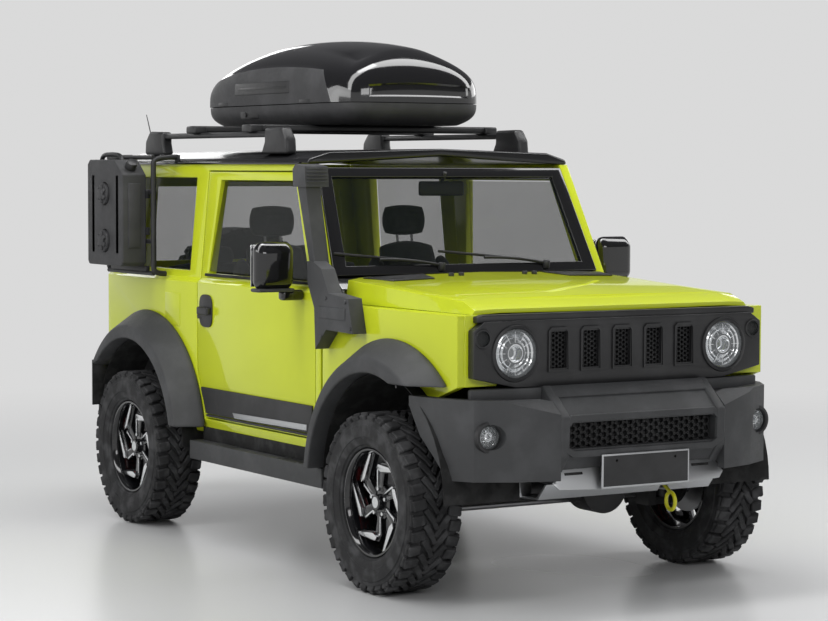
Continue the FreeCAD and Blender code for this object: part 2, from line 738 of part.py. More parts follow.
def rear_end():
    """Back panel round the tailgate, bumper, tailgate with window, and the spare wheel."""
    back = car.body_rear
    ring = prism("XZ", [(-720, 640), (720, 640), (720, car.belt_height), (658, car.gutter_height),
                        (-658, car.gutter_height), (-720, car.belt_height)], (back + 0.3, back + 10),
                 [[(-594, 706), (594, 706), (594, 1170), (548, 1646), (-548, 1646),
                   (-594, 1170)]])
    leaves = [block((-595, -588.3), (back + 0.3, back + 10), (z, z + 60)) for z in (800, 1080)]
    node(fuse([ring] + leaves), "rear_panel")
    bumper = prism("XY", [(-780, 1535), (-700, 1535), (-700, back + 2), (700, back + 2),
                          (700, 1535), (780, 1535), (770, back + 45), (690, back + 72),
                          (-690, back + 72), (-770, back + 45)], (480, 636))
    arms = [block(span(side, rail_inner, rail_outer), (1540, back + 10),
                  (car.rail_bottom + 10, rail_top)) for _, side in SIDES]
    node(fuse([bumper] + arms), "rear_bumper")
    gap = car.shut_gap
    shape = [(-594 + gap, 706 + gap), (594 - gap, 706 + gap), (594 - gap, 1168),
             (548 - gap, 1646 - gap), (-548 + gap, 1646 - gap), (-594 + gap, 1168)]
    light = [(-500, 1215), (500, 1215), (474, 1580), (-474, 1580)]
    door = prism("XZ", shape, (back - 26, back + 12), [light])
    spare_x = car.spare_centre_x
    carrier = rod("y", 62, 151.7, spare_x, back + 10, car.spare_height)
    node(fuse([door, carrier]), "rear_door")
    node(prism("XZ", [(x * 0.999, z) for x, z in light], (back - 4, back + 1)), "rear_window")


def rim_shape(name):
    """A wheel rim along +Y from its inner to its outer face, with six openings in its disc."""
    half = 92
    radius = car.rim_radius.value
    wall = car.rim_wall.value
    body = doc.addObject("PartDesign::Body", name)
    profile = [(-half, radius - wall - 6), (-half, radius), (-half + 14, radius),
               (-half + 24, radius - 14), (half - 24, radius - 14), (half - 14, radius),
               (half, radius), (half, radius - wall), (half - 20, radius - 30),
               (half - 44, radius - 60), (half - 50, 78), (half - 18, 66), (half - 18, 0),
               (half - 62, 0), (half - 62, 78), (half - 66, radius - 50), (half - 60, radius - 28),
               (-half + 20, radius - 28)]
    sketch = body.newObject("Sketcher::SketchObject", "Profile")
    plane = [item for item in body.Origin.OriginFeatures if item.Role == "XY_Plane"][0]
    sketch.AttachmentSupport = [(plane, "")]
    sketch.MapMode = "FlatFace"
    outline(sketch, profile)
    spin = body.newObject("PartDesign::Revolution", "Revolution")
    spin.Profile = sketch
    spin.ReferenceAxis = (sketch, ["H_Axis"])
    spin.Angle = 360
    windows = []
    for index in range(6):
        opening = doc.addObject("Part::Cylinder", "Opening")
        opening.Radius = 29
        opening.Height = 120
        turn = math.radians(60 * index + 17)
        middle = Vector(0, 117 * math.cos(turn), 117 * math.sin(turn))
        opening.Placement = Placement(middle, AXIS_TURNS["x"])
        windows.append(opening)
    return body, windows


def wheel_at(label, side, y, z, x_middle, axis, rim_label, tyre_label):
    """A rim and its tyre centred on a point, its face turned to the outside."""
    body, windows = rim_shape(rim_label + "_profile")
    bore = rod("x", car.hub_radius + car.running_gap, 210.5, -150, 0, 0)
    rim = cut(body, windows + [bore])
    turn = {("x", 1): 0, ("x", -1): 180, ("y", 1): 90}[(axis, side)]
    rotation = Rotation(Vector(0, 0, 1), turn)
    rim.Placement = Placement(Vector(), rotation)
    place(rim, x_middle, y, z)
    node(rim, rim_label)
    radius = car.tyre_radius.value
    inner = car.rim_radius.value - 14
    half = car.tyre_width.value / 2
    profile = [(-66, inner + 0.3), (66, inner + 0.3), (76, inner + 15), (half - 18, inner + 22),
               (half, inner + 70), (half - 6, radius - 40), (half - 24, radius - 5),
               (half - 70, radius), (-half + 70, radius), (-half + 24, radius - 5),
               (-half + 6, radius - 40), (-half, inner + 70), (-half + 18, inner + 22),
               (-76, inner + 15)]
    face = Part.Face(Part.makePolygon([Vector(u, v, 0) for u, v in profile + profile[:1]]))
    tyre = doc.addObject("Part::Feature", "Tyre")
    tyre.Shape = face.revolve(Vector(), Vector(1, 0, 0), 360)
    tyre.Placement = Placement(Vector(), rotation)
    place(tyre, x_middle, y, z)
    node(tyre, tyre_label)


def wheels():
    """Four road wheels and the spare on the tailgate."""
    for end, y in (("front", front_axle_y), ("rear", rear_axle_y)):
        for name, side in SIDES:
            label = "%s_%s" % (end, name)
            wheel_at(label, side, y, hub_height, wheel_half * side, "x",
                     label + "_rim", label + "_tyre")
    wheel_at("spare", 1, car.body_rear + 132, car.spare_height, car.spare_centre_x, "y",
             "spare_rim", "spare_tyre")


def axles():
    """Beam axles, and the knuckles that turn on the front one."""
    hub_outer = wheel_half + 60
    rear = [rod("x", 42, 1160, -580, rear_axle_y, hub_height)]
    front = [rod("x", 42, 1000, -500, front_axle_y, hub_height)]
    for beam, x, y, radius in ((rear, 150, rear_axle_y, 118), (front, 250, front_axle_y, 112)):
        beam.append(rod("y", radius, 130, x, y - 65, hub_height))
        beam.append(cone("y", radius, 70, 45, x, y + 65, hub_height))
        beam.append(rod("x", 66, 220, x - 120, y, hub_height))
    for _, side in SIDES:
        rear.append(rod("x", car.hub_radius, hub_outer - 560, span(side, 560, hub_outer)[0],
                        rear_axle_y, hub_height))
        rear.append(rod("x", 130, 40, span(side, 580, 620)[0], rear_axle_y, hub_height))
        for y, beam in ((rear_axle_y, rear), (front_axle_y, front)):
            beam.append(block(span(side, 362, 438), (y - 42, y + 42),
                              (hub_height - 8, hub_height + 48)))
        front.append(block(span(side, 490, 530), (front_axle_y - 45, front_axle_y + 45),
                           (hub_height - 100, hub_height + 100)))
        for low in (-100, 70):
            front.append(block(span(side, 490, 620), (front_axle_y - 30, front_axle_y + 30),
                               (hub_height + low, hub_height + low + 30)))
        knuckle = [rod("z", 30, 139.4, car.kingpin_half * side, front_axle_y, hub_height - 69.7),
                   rod("x", car.hub_radius, hub_outer - car.kingpin_half,
                       span(side, car.kingpin_half, hub_outer)[0], front_axle_y, hub_height),
                   rod("x", 105, 18, span(side, 632, 650)[0], front_axle_y, hub_height),
                   block(span(side, 560, 590), (front_axle_y, front_axle_y + 150),
                         (hub_height - 60, hub_height - 40))]
        node(fuse(knuckle), "%s_knuckle" % ("right" if side < 0 else "left"))
    node(fuse(front), "front_axle")
    node(fuse(rear), "rear_axle")
    tie = rod("x", 13, 1120, -560, front_axle_y + 135, hub_height - 73.3)
    ends = [rod("z", 12, 26, 575 * side, front_axle_y + 135, hub_height - 86.3) for _, side in SIDES]
    stubs = [rod("x", 10, 30, span(side, 555, 585)[0], front_axle_y + 135, hub_height - 73.3)
             for _, side in SIDES]
    node(fuse([tie] + ends + stubs), "tie_rod")
    springs = []
    for _, side in SIDES:
        for y in (front_axle_y, rear_axle_y):
            springs.append(rod("z", 34, car.rail_bottom - hub_height - 48.6,
                               car.rail_half * side, y, hub_height + 48.3))
    node(group(springs), "coil_springs")
    links = []
    for _, side in SIDES:
        for y, way in ((front_axle_y, 1), (rear_axle_y, -1)):
            low, high = ordered(y + 42 * way, y + 560 * way)
            arm = block(span(side, 375, 415), (low + 0.3, high), (hub_height, hub_height + 40))
            far = high - 40 if way > 0 else low + 0.3
            post = block(span(side, 375, 415), (far, far + 40), (hub_height + 30, car.rail_bottom))
            links.append(fuse([arm, post]))
    node(group(links), "trailing_arms")


frame_rails()
floor_pan()
body_sides()
side_doors()
quarter_windows()
front_wings()
windscreen()
roof()
hood()
nose()
front_bumper()
nose_fittings()
tow_eyes()
fender_flares()
rock_sliders()
snorkel()
roof_rack()
roof_box()
side_rack()
cabin_fittings()
power_unit()
rear_end()
wheels()
axles()
doc.recompute()

# ------------------------------------------------------------------ test and write
for item in doc.Objects:
    if "Invalid" in item.State or "Error" in item.State:
        raise RuntimeError("%s did not recompute" % item.Label)
for piece in NODES:
    if piece.Shape.isNull() or not piece.Shape.isValid():
        raise RuntimeError("%s has no valid shape" % piece.Label)
os.makedirs("parts", exist_ok=True)
for piece in NODES:
    piece.Shape.exportStep(os.path.join("parts", "%s.step" % piece.Label))
    print(piece.Label, len(piece.Shape.Solids), round(piece.Shape.Volume / 1e6, 3))
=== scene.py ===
"""Finishes the lifted off-road 4x4: panels, wheels, lamps, cabin, materials and a pale studio."""
import math

import bmesh
import bpy
from mathutils import Matrix, Vector
from mathutils.bvhtree import BVHTree


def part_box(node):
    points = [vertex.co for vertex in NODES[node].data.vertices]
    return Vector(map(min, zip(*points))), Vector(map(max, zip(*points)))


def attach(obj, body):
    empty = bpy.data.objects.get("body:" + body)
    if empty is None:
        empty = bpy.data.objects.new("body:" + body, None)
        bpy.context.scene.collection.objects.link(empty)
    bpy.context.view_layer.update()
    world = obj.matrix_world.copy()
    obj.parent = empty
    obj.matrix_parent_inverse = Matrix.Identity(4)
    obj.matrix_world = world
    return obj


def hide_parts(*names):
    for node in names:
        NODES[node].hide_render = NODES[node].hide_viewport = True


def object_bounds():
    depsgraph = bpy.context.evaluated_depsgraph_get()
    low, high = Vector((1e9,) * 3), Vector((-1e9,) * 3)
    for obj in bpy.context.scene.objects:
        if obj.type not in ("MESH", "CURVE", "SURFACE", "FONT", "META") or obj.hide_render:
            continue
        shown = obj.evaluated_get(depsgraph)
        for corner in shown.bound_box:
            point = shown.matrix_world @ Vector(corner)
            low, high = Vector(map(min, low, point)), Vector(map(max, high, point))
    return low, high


bl_info = {
    "name": "Off-road car finisher",
    "version": (1, 0, 0),
    "blender": (4, 5, 0),
    "location": "3D View > Sidebar > Off-road",
    "description": "Builds the finished look of a lifted off-road car around its frame",
    "category": "Object",
}

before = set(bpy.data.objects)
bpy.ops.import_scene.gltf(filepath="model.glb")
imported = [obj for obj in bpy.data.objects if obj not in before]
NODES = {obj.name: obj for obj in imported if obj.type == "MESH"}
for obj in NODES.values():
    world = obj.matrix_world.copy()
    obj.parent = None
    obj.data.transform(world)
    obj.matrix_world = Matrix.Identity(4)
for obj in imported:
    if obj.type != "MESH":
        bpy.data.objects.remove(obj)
CAD_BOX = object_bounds()
SIDES = (("right", -1), ("left", 1))
ROAD_WHEELS = ("front_right", "front_left", "rear_right", "rear_left")
TURN = 2 * math.pi
FRONT_AXLE, REAR_AXLE = -1.125, 1.125
ARCH_CENTRE, ARCH_RADIUS = 0.398, 0.474
TYRE_RADIUS = 0.3572
HOOD_PADS_FROM = 1.2285
LAMP_X, LAMP_Z = 0.501, 0.970
FOG_X, FOG_Z = 0.642, 0.660
MARKER_X, MARKER_Z = 0.650, 1.030
FORWARD = (0, -1, 0)


def middle(node):
    """The centre of a node's box."""
    low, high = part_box(node)
    return (Vector(low) + Vector(high)) / 2


def span(side, near, far):
    """Two distances from the centre plane as low and high x on one side."""
    return sorted((near * side, far * side))


# ------------------------------------------------------------------ materials
class Wire:
    """A shader socket that adds a Math node for each arithmetic operator."""

    def __init__(self, shader, socket):
        self.shader = shader
        self.socket = socket

    def maths(self, operation, *inputs):
        return self.shader.node("ShaderNodeMath", {"operation": operation},
                                dict(enumerate(inputs)))

    def __add__(self, other):
        return self.maths("ADD", self, other)

    def __sub__(self, other):
        return self.maths("SUBTRACT", self, other)

    def __mul__(self, other):
        return self.maths("MULTIPLY", self, other)

    def __pow__(self, other):
        return self.maths("POWER", self, other)

    def above(self, edge, width=0.02):
        """A mask that rises from 0 to 1 across an edge."""
        return self.shader.node("ShaderNodeMapRange", {"interpolation_type": "SMOOTHSTEP"},
                                {0: self, 1: edge - width, 2: edge + width})


class Shader:
    """One procedural material built round a Principled BSDF."""

    def __init__(self, name, colour, rough=0.5, metal=0.0, **sockets):
        self.material = bpy.data.materials.new(name)
        self.material.use_nodes = True
        self.tree = self.material.node_tree
        self.bsdf = self.tree.nodes["Principled BSDF"]
        self.material.diffuse_color = (*colour, 1)
        self.put("Base Color", (*colour, 1))
        self.put("Roughness", rough)
        self.put("Metallic", metal)
        for socket, amount in sockets.items():
            self.put(socket.replace("_", " "), amount)
        self.place = self.node("ShaderNodeTexCoord", {}, {}, "Object")

    def put(self, socket, amount):
        """Sets a socket of the BSDF, or links a wire to it."""
        if isinstance(amount, Wire):
            self.tree.links.new(amount.socket, self.bsdf.inputs[socket])
        else:
            self.bsdf.inputs[socket].default_value = amount

    def node(self, kind, settings, inputs, output=0):
        """Adds a node, with its settings first and then its values or links."""
        made = self.tree.nodes.new(kind)
        for key, amount in settings.items():
            setattr(made, key, amount)
        for key, amount in inputs.items():
            if isinstance(amount, Wire):
                self.tree.links.new(amount.socket, made.inputs[key])
            else:
                made.inputs[key].default_value = amount
        return Wire(self, made.outputs[output])

    def noise(self, scale, detail=2.0, stretch=None):
        """A noise value at a number of features per metre."""
        place = self.place
        if stretch:
            place = self.node("ShaderNodeMapping", {}, {0: place, 3: stretch})
        return self.node("ShaderNodeTexNoise", {},
                         {"Vector": place, "Scale": scale, "Detail": detail})

    def cells(self, scale):
        """A cell distance value."""
        return self.node("ShaderNodeTexVoronoi", {}, {"Vector": self.place, "Scale": scale})

    def axis(self, name):
        """One coordinate of the piece, in metres."""
        return self.node("ShaderNodeSeparateXYZ", {}, {0: self.place}, name)

    def blend(self, mask, first, second):
        """A colour between two, by a mask."""
        settings = {"data_type": "RGBA"}
        return self.node("ShaderNodeMix", settings, {0: mask, 6: (*first, 1), 7: (*second, 1)}, 2)

    def bump(self, height, strength, distance):
        """Raises the surface by a height."""
        self.put("Normal", self.node("ShaderNodeBump", {}, {
            "Strength": strength, "Distance": distance, "Height": height}))

    def patches(self, scale, detail, edge, width, colour, other):
        """Colours the base in soft patches of two colours."""
        mask = self.noise(scale, detail).above(edge, width)
        self.put("Base Color", self.blend(mask, colour, other))


def paint(name, colour, shade):
    """Coated car paint with a little colour drift and orange peel."""
    made = Shader(name, colour, 0.34, Specular_IOR_Level=0.12, Coat_Weight=0.8,
                  Coat_Roughness=0.035)
    made.patches(2.2, 3.0, 0.52, 0.2, colour, shade)
    made.put("Roughness", made.noise(900.0, 1.0) * 0.1 + 0.29)
    made.bump(made.noise(260.0, 1.0), 0.03, 0.0006)
    return made.material


def moulded(name, colour, rough, grain=1400.0, depth=0.35):
    """Grained plastic with worn, slightly paler patches."""
    made = Shader(name, colour, rough)
    pale = tuple(min(1, c * 1.35 + 0.004) for c in colour)
    made.patches(7.0, 5.0, 0.56, 0.14, colour, pale)
    made.put("Roughness", made.noise(45.0, 3.0) * 0.16 + (rough - 0.08))
    made.bump(made.cells(grain), depth, 0.0006)
    return made.material


def gloss(name, colour, rough=0.09, coat=0.6):
    """Smooth glossy moulding with a faint ripple."""
    made = Shader(name, colour, rough, Coat_Weight=coat, Coat_Roughness=0.03)
    made.put("Roughness", made.noise(30.0, 3.0) * 0.06 + rough - 0.02)
    made.bump(made.noise(140.0, 1.0), 0.02, 0.0006)
    return made.material


def rubber(name, colour):
    """Dull rubber with dusty patches."""
    made = Shader(name, colour, 0.78, Specular_IOR_Level=0.35)
    dust = tuple(c * 2.0 + 0.012 for c in colour)
    made.patches(14.0, 6.0, 0.55, 0.12, colour, dust)
    made.put("Roughness", made.noise(60.0, 4.0) * 0.2 + 0.66)
    made.bump(made.noise(420.0, 4.0), 0.25, 0.0007)
    return made.material


def metal(name, colour, rough):
    """Bare metal with a directional brush."""
    made = Shader(name, colour, rough, 1.0)
    brush = made.noise(60.0, 4.0, (1.0, 40.0, 40.0))
    made.put("Roughness", brush * 0.2 + (rough - 0.08))
    made.bump(brush, 0.06, 0.0004)
    return made.material


def glazing(name, colour, alpha):
    """Tinted glass that lets the cabin show."""
    made = Shader(name, colour, 0.02, IOR=1.45)
    made.put("Alpha", made.noise(3.0, 1.0) * 0.04 + (alpha - 0.02))
    made.material.surface_render_method = "BLENDED"
    return made.material


def cloth(name, colour):
    """Woven seat cloth."""
    made = Shader(name, colour, 0.9, Sheen_Weight=0.25, Sheen_Roughness=0.5)
    rows = made.node("ShaderNodeTexWave", {}, {"Vector": made.place, "Scale": 330.0})
    cross = made.node("ShaderNodeTexWave", {"bands_direction": "Z"},
                      {"Vector": made.place, "Scale": 330.0})
    pale = tuple(c * 1.6 + 0.01 for c in colour)
    made.patches(40.0, 4.0, 0.5, 0.2, colour, pale)
    made.bump(rows * cross, 0.12, 0.0006)
    return made.material


def lens_material(name, colour, alpha):
    """Moulded clear lens whose clearness drifts a little."""
    made = Shader(name, colour, 0.05, IOR=1.49, Coat_Weight=0.5)
    made.put("Alpha", made.noise(20.0, 1.0) * 0.05 + alpha)
    made.material.surface_render_method = "BLENDED"
    return made.material


def plate_finish(name, colour):
    """Blank plate with faint wear."""
    made = Shader(name, colour, 0.38)
    made.patches(9.0, 4.0, 0.55, 0.2, colour, tuple(c * 0.93 for c in colour))
    made.bump(made.cells(500.0), 0.05, 0.0004)
    return made.material


def all_materials(look):
    """Every finish of the car, by name."""
    lime = tuple(look.paint)
    return {
        "paint": paint("lime_paint", lime, tuple(c * 0.95 for c in lime)),
        "black": gloss("gloss_black", (0.008, 0.008, 0.009)),
        "roof": gloss("roof_black", (0.008, 0.008, 0.009), 0.24, 0.15),
        "plastic": moulded("grained_plastic", tuple(look.plastic), 0.58),
        "cladding": moulded("cladding_plastic", (0.026, 0.026, 0.027), 0.6),
        "trim": moulded("smooth_trim", (0.018, 0.018, 0.019), 0.42, 2600.0, 0.12),
        "chassis": moulded("chassis_black", (0.014, 0.014, 0.015), 0.5, 300.0, 0.2),
        "rubber": rubber("tyre_rubber", (0.022, 0.022, 0.023)),
        "seal": rubber("rubber_seal", (0.009, 0.009, 0.009)),
        "rim": gloss("rim_black", (0.007, 0.007, 0.008), 0.12),
        "machined": metal("machined_face", (0.78, 0.79, 0.8), 0.2),
        "silver": metal("satin_silver", (0.55, 0.56, 0.57), 0.4),
        "steel": metal("bare_steel", (0.36, 0.36, 0.37), 0.42),
        "chrome": metal("lamp_chrome", (0.88, 0.89, 0.9), 0.09),
        "mirror": metal("mirror_face", (0.9, 0.91, 0.92), 0.06),
        "glass": glazing("tinted_glass", (0.012, 0.016, 0.015), 0.28),
        "lens": lens_material("clear_lens", (0.8, 0.84, 0.86), 0.17),
        "amber": lens_material("amber_lens", (0.8, 0.28, 0.02), 0.75),
        "red": lens_material("red_lens", (0.45, 0.01, 0.01), 0.85),
        "cloth": cloth("seat_cloth", (0.016, 0.016, 0.018)),
        "cabin": moulded("cabin_plastic", (0.02, 0.02, 0.021), 0.62, 900.0, 0.3),
        "yellow": paint("tow_enamel", (0.62, 0.60, 0.01), (0.55, 0.53, 0.01)),
        "plate": plate_finish("blank_plate", (0.035, 0.036, 0.04)),
        "box_side": moulded("box_grain", (0.035, 0.035, 0.037), 0.6, 900.0, 0.4),
    }


FINISH = {}


# ------------------------------------------------------------------ ways of making
def finish_mesh(mesh, bm, smooth):
    """Moves a bmesh to a mesh with soft shading below an angle."""
    bmesh.ops.recalc_face_normals(bm, faces=bm.faces)
    bm.to_mesh(mesh)
    bm.free()
    mesh.shade_smooth()
    mesh.set_sharp_from_angle(angle=math.radians(smooth))


def piece(name, bm, body, finishes, smooth=35, replaces=()):
    """Makes an object of a bmesh, with its finish, its body and what it stands for."""
    mesh = bpy.data.meshes.new(name)
    finish_mesh(mesh, bm, smooth)
    made = bpy.data.objects.new(name, mesh)
    bpy.context.scene.collection.objects.link(made)
    for finish in [finishes] if isinstance(finishes, str) else finishes:
        mesh.materials.append(FINISH[finish])
    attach(made, body)
    if replaces:
        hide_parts(*replaces)
    return made


def bevel(bm, edges, width, segments):
    """Rounds some edges."""
    bmesh.ops.bevel(bm, geom=list(edges), offset=width, offset_type="OFFSET", segments=segments,
                    profile=0.5, affect="EDGES", material=-1, clamp_overlap=True)


def is_sharp(edge, degrees):
    """Whether an edge turns more than an angle."""
    return edge.is_manifold and edge.calc_face_angle(0) > math.radians(degrees)


def softened(node, width, segments=2):
    """A copy of a node's shape with its sharp edges rounded."""
    bm = bmesh.new()
    bm.from_mesh(NODES[node].data)
    bmesh.ops.remove_doubles(bm, verts=bm.verts, dist=1e-5)
    bmesh.ops.dissolve_limit(bm, angle_limit=math.radians(1.0), verts=bm.verts, edges=bm.edges)
    bevel(bm, [edge for edge in bm.edges if is_sharp(edge, 24)], width, segments)
    return bm


def bevel_all(bm, geometry, width, segments=2):
    """Rounds the sharp edges among some faces."""
    bevel(bm, {edge for face in geometry for edge in face.edges if is_sharp(edge, 20)},
          width, segments)


def add_block(bm, low, high, round_by=0.0, segments=2, index=0, place=None):
    """Adds a box between two corners, rounded if asked."""
    low, high = Vector(low), Vector(high)
    shape = Matrix.Translation((low + high) / 2) @ Matrix.Diagonal((*(high - low), 1))
    if place is not None:
        shape = place @ shape
    verts = bmesh.ops.create_cube(bm, size=1.0, matrix=shape)["verts"]
    faces = {face for vert in verts for face in vert.link_faces}
    for face in faces:
        face.material_index = index
    if round_by:
        bevel_all(bm, faces, round_by, segments)


def soft_cube(cuts):
    """A finely divided cube that runs from -1 to 1, with its normals ready."""
    cube = bmesh.new()
    bmesh.ops.create_cube(cube, size=2.0)
    bmesh.ops.subdivide_edges(cube, edges=cube.edges[:], cuts=cuts, use_grid_fill=True)
    cube.normal_update()
    return cube


def add_pad(bm, low, high, soft, place=None, panel=None):
    """Adds a crowned pad that fills a box, with a sewn panel on the side named."""
    low, high = Vector(low), Vector(high)
    pad = soft_cube(10)
    sewn = []
    if panel:
        way = Vector(panel)
        sewn = [face for face in pad.faces if face.normal.dot(way) > 0.9
                and max(map(abs, face.calc_center_median() - way)) < 0.66]
    for vert in pad.verts:
        x, y, z = (value * value for value in vert.co)
        vert.co.x *= math.sqrt(1 - soft * (y + z) / 2 + soft * soft * y * z / 3)
        vert.co.y *= math.sqrt(1 - soft * (x + z) / 2 + soft * soft * x * z / 3)
        vert.co.z *= math.sqrt(1 - soft * (x + y) / 2 + soft * soft * x * y / 3)
    shape = Matrix.Translation((low + high) / 2) @ Matrix.Diagonal((*((high - low) / 2), 1))
    bmesh.ops.transform(pad, matrix=shape if place is None else place @ shape, verts=pad.verts)
    if sewn:
        bmesh.ops.inset_region(pad, faces=sewn, thickness=0.006, depth=-0.005,
                               use_even_offset=True)
    joined(bm, pad)


def box_half(low, high, upward):
    """Half of the roof box: a rounded shell, blunt in front, with a longer slope behind."""
    half = soft_cube(27)
    floor = -1 if upward else 1
    centres = [(face, face.calc_center_median()) for face in half.faces] if upward else []
    grained = [face for face, at in centres if abs(face.normal.x) > 0.9
               and -0.86 < at.y < 0.97 and -0.97 < at.z < 0.36]
    nose = [face for face, at in centres if face.normal.y < -0.9
            and abs(at.x) < 0.80 and -0.80 < at.z < -0.25]
    open_side = [face for face in half.faces if face.normal.z * floor > 0.9]
    mid = (Vector(low) + Vector(high)) / 2
    reach = (Vector(high) - Vector(low)) / 2 - Vector((0.004, 0.002, 0))
    for vert in half.verts:
        x, y, z = vert.co
        rise = (z + 1) / 2 if upward else (1 - z) / 2
        if upward:
            y += 0.5 * rise * (1 - y * y)
            slope, crown = (0.34, 0.34) if y < 0 else (0.30, 0.50)
            across = math.sqrt(1 - 0.56 * rise ** 4)
            along = math.sqrt(1 - slope * rise ** 3)
            tall = rise * math.sqrt(1 - 0.26 * x ** 2 - crown * y ** 2)
        else:
            across = math.sqrt(1 - 0.30 * rise ** 3)
            along = math.sqrt(1 - 0.22 * rise ** 3)
            tall = 1 - rise
        vert.co.x = mid.x + reach.x * x * across * math.sqrt(1 - 0.24 * y ** 8)
        vert.co.y = mid.y + reach.y * y * along * math.sqrt(1 - 0.14 * x ** 6)
        vert.co.z = low[2] + (high[2] - low[2]) * tall
    bmesh.ops.delete(half, geom=open_side, context="FACES")
    for faces, depth in ((grained, 0.0035), (nose, -0.006)):
        if faces:
            bmesh.ops.inset_region(half, faces=faces, thickness=0.007, depth=depth,
                                   use_even_offset=True)
    for face in grained:
        face.material_index = 1
    bmesh.ops.solidify(half, geom=half.faces[:], thickness=0.004)
    return half


def add_rod(bm, start, end, radius, segments=24, index=0, end_radius=None, round_by=0.0):
    """Adds a cylinder or cone between two points."""
    start, end = Vector(start), Vector(end)
    along = end - start
    turn = along.to_track_quat("Z", "Y").to_matrix().to_4x4()
    shape = Matrix.Translation((start + end) / 2) @ turn
    last = radius if end_radius is None else end_radius
    verts = bmesh.ops.create_cone(bm, cap_ends=True, segments=segments, radius1=radius,
                                  radius2=last, depth=along.length, matrix=shape)["verts"]
    faces = {face for vert in verts for face in vert.link_faces}
    for face in faces:
        face.material_index = index
    if round_by:
        caps = [face for face in faces if len(face.verts) > 4]
        bevel(bm, {edge for face in caps for edge in face.edges}, round_by, 2)


# Turns a place across an axis (u, v) and along it (w) into x, y and z.
AXES = {"x": lambda u, v, w: (w, u, v), "y": lambda u, v, w: (u, w, v),
        "z": lambda u, v, w: (u, v, w)}


def add_plate(bm, axis, outline, low, high, round_by=0.0, segments=2, index=0):
    """Adds an outline, drawn across an axis, extruded from one place on it to another."""
    verts = [bm.verts.new(AXES[axis](u, v, low)) for u, v in outline]
    face = bm.faces.new(verts)
    made = bmesh.ops.extrude_face_region(bm, geom=[face])["geom"]
    moved = [item for item in made if isinstance(item, bmesh.types.BMVert)]
    bmesh.ops.translate(bm, verts=moved, vec=AXES[axis](0, 0, high - low))
    faces = {other for vert in verts + moved for other in vert.link_faces}
    for other in faces:
        other.material_index = index
    if round_by:
        bevel_all(bm, faces, round_by, segments)
    return faces


def add_spun(bm, profile, centre, axis, steps=96, index=0, closed=True):
    """Adds a profile of (along the axis, radius) pairs turned about an axis."""
    axis = Vector(axis).normalized()
    centre = Vector(centre)
    side = axis.orthogonal().normalized()
    verts = [bm.verts.new(centre + axis * along + side * radius) for along, radius in profile]
    count = len(verts)
    pairs = range(count if closed else count - 1)
    edges = [bm.edges.new((verts[i], verts[(i + 1) % count])) for i in pairs]
    before = set(bm.faces)
    bmesh.ops.spin(bm, geom=verts + edges, cent=centre, axis=axis, angle=TURN, steps=steps,
                   use_merge=True)
    bmesh.ops.remove_doubles(bm, verts=bm.verts, dist=1e-6)
    for face in set(bm.faces) - before:
        face.material_index = index


def add_tube(bm, points, radius, index=0, closed=False, sides=3, smooth=True):
    """Adds a round tube through some points."""
    curve = bpy.data.curves.new("path", "CURVE")
    curve.dimensions = "3D"
    curve.bevel_depth = radius
    curve.bevel_resolution = sides
    curve.use_fill_caps = True
    curve.resolution_u = 5
    line = curve.splines.new("NURBS" if smooth else "POLY")
    line.points.add(len(points) - 1)
    for point, place in zip(line.points, points):
        point.co = (*place, 1)
    if smooth:
        line.order_u = 3
        line.use_endpoint_u = not closed
    line.use_cyclic_u = closed
    holder = bpy.data.objects.new("path", curve)
    mesh = bpy.data.meshes.new_from_object(holder)
    for polygon in mesh.polygons:
        polygon.material_index = index
    bm.from_mesh(mesh)
    bpy.data.objects.remove(holder)
    bpy.data.meshes.remove(mesh)
    bpy.data.curves.remove(curve)


def copied(bm, matrix):
    """A turned or moved copy of a bmesh."""
    made = bm.copy()
    bmesh.ops.transform(made, matrix=matrix, verts=made.verts)
    return made


def joined(bm, other):
    """Adds one bmesh to another and frees it."""
    mesh = bpy.data.meshes.new("part")
    other.to_mesh(mesh)
    bm.from_mesh(mesh)
    bpy.data.meshes.remove(mesh)
    other.free()


def add_bolts(bm, places, direction, radius, height):
    """Adds hexagonal bolt heads at some places."""
    for place in places:
        place = Vector(place)
        add_rod(bm, place, place + Vector(direction) * height, radius, 6,
                end_radius=radius * 0.86)


def honeycomb(bm, low, high, place_y, depth, cell, wall):
    """Adds a flat honeycomb across x and z between two corners."""
    step_x, step_z = cell * 1.5, cell * math.sqrt(3)
    columns = int((high[0] - low[0]) / step_x) + 1
    rows = int((high[1] - low[1]) / step_z) + 1
    net = bmesh.new()
    upright = Matrix.Rotation(math.pi / 2, 4, "X")
    for column in range(columns):
        for row in range(rows):
            x = low[0] + column * step_x
            z = low[1] + (row + 0.5 * (column % 2)) * step_z
            if x > high[0] or z > high[1]:
                continue
            bmesh.ops.create_circle(net, cap_ends=True, segments=6, radius=cell,
                                    matrix=Matrix.Translation((x, place_y, z)) @ upright)
    bmesh.ops.remove_doubles(net, verts=net.verts, dist=cell * 0.02)
    bmesh.ops.inset_individual(net, faces=net.faces[:], thickness=wall, depth=0)
    holes = [face for face in net.faces if len(face.verts) == 6]
    bmesh.ops.delete(net, geom=holes, context="FACES")
    made = bmesh.ops.extrude_face_region(net, geom=net.faces[:])["geom"]
    moved = [item for item in made if isinstance(item, bmesh.types.BMVert)]
    bmesh.ops.translate(net, verts=moved, vec=(0, depth, 0))
    joined(bm, net)


def open_frame(bm, faces, thickness):
    """Turns a plate that lies across y into an open frame with a border."""
    front = min(faces, key=lambda face: face.calc_center_median().y)
    back = max(faces, key=lambda face: face.calc_center_median().y)
    bmesh.ops.inset_individual(bm, faces=[front, back], thickness=thickness, depth=0)
    rims = [edge for face in (front, back) for edge in face.edges]
    bmesh.ops.delete(bm, geom=[front, back], context="FACES_ONLY")
    bmesh.ops.bridge_loops(bm, edges=rims)


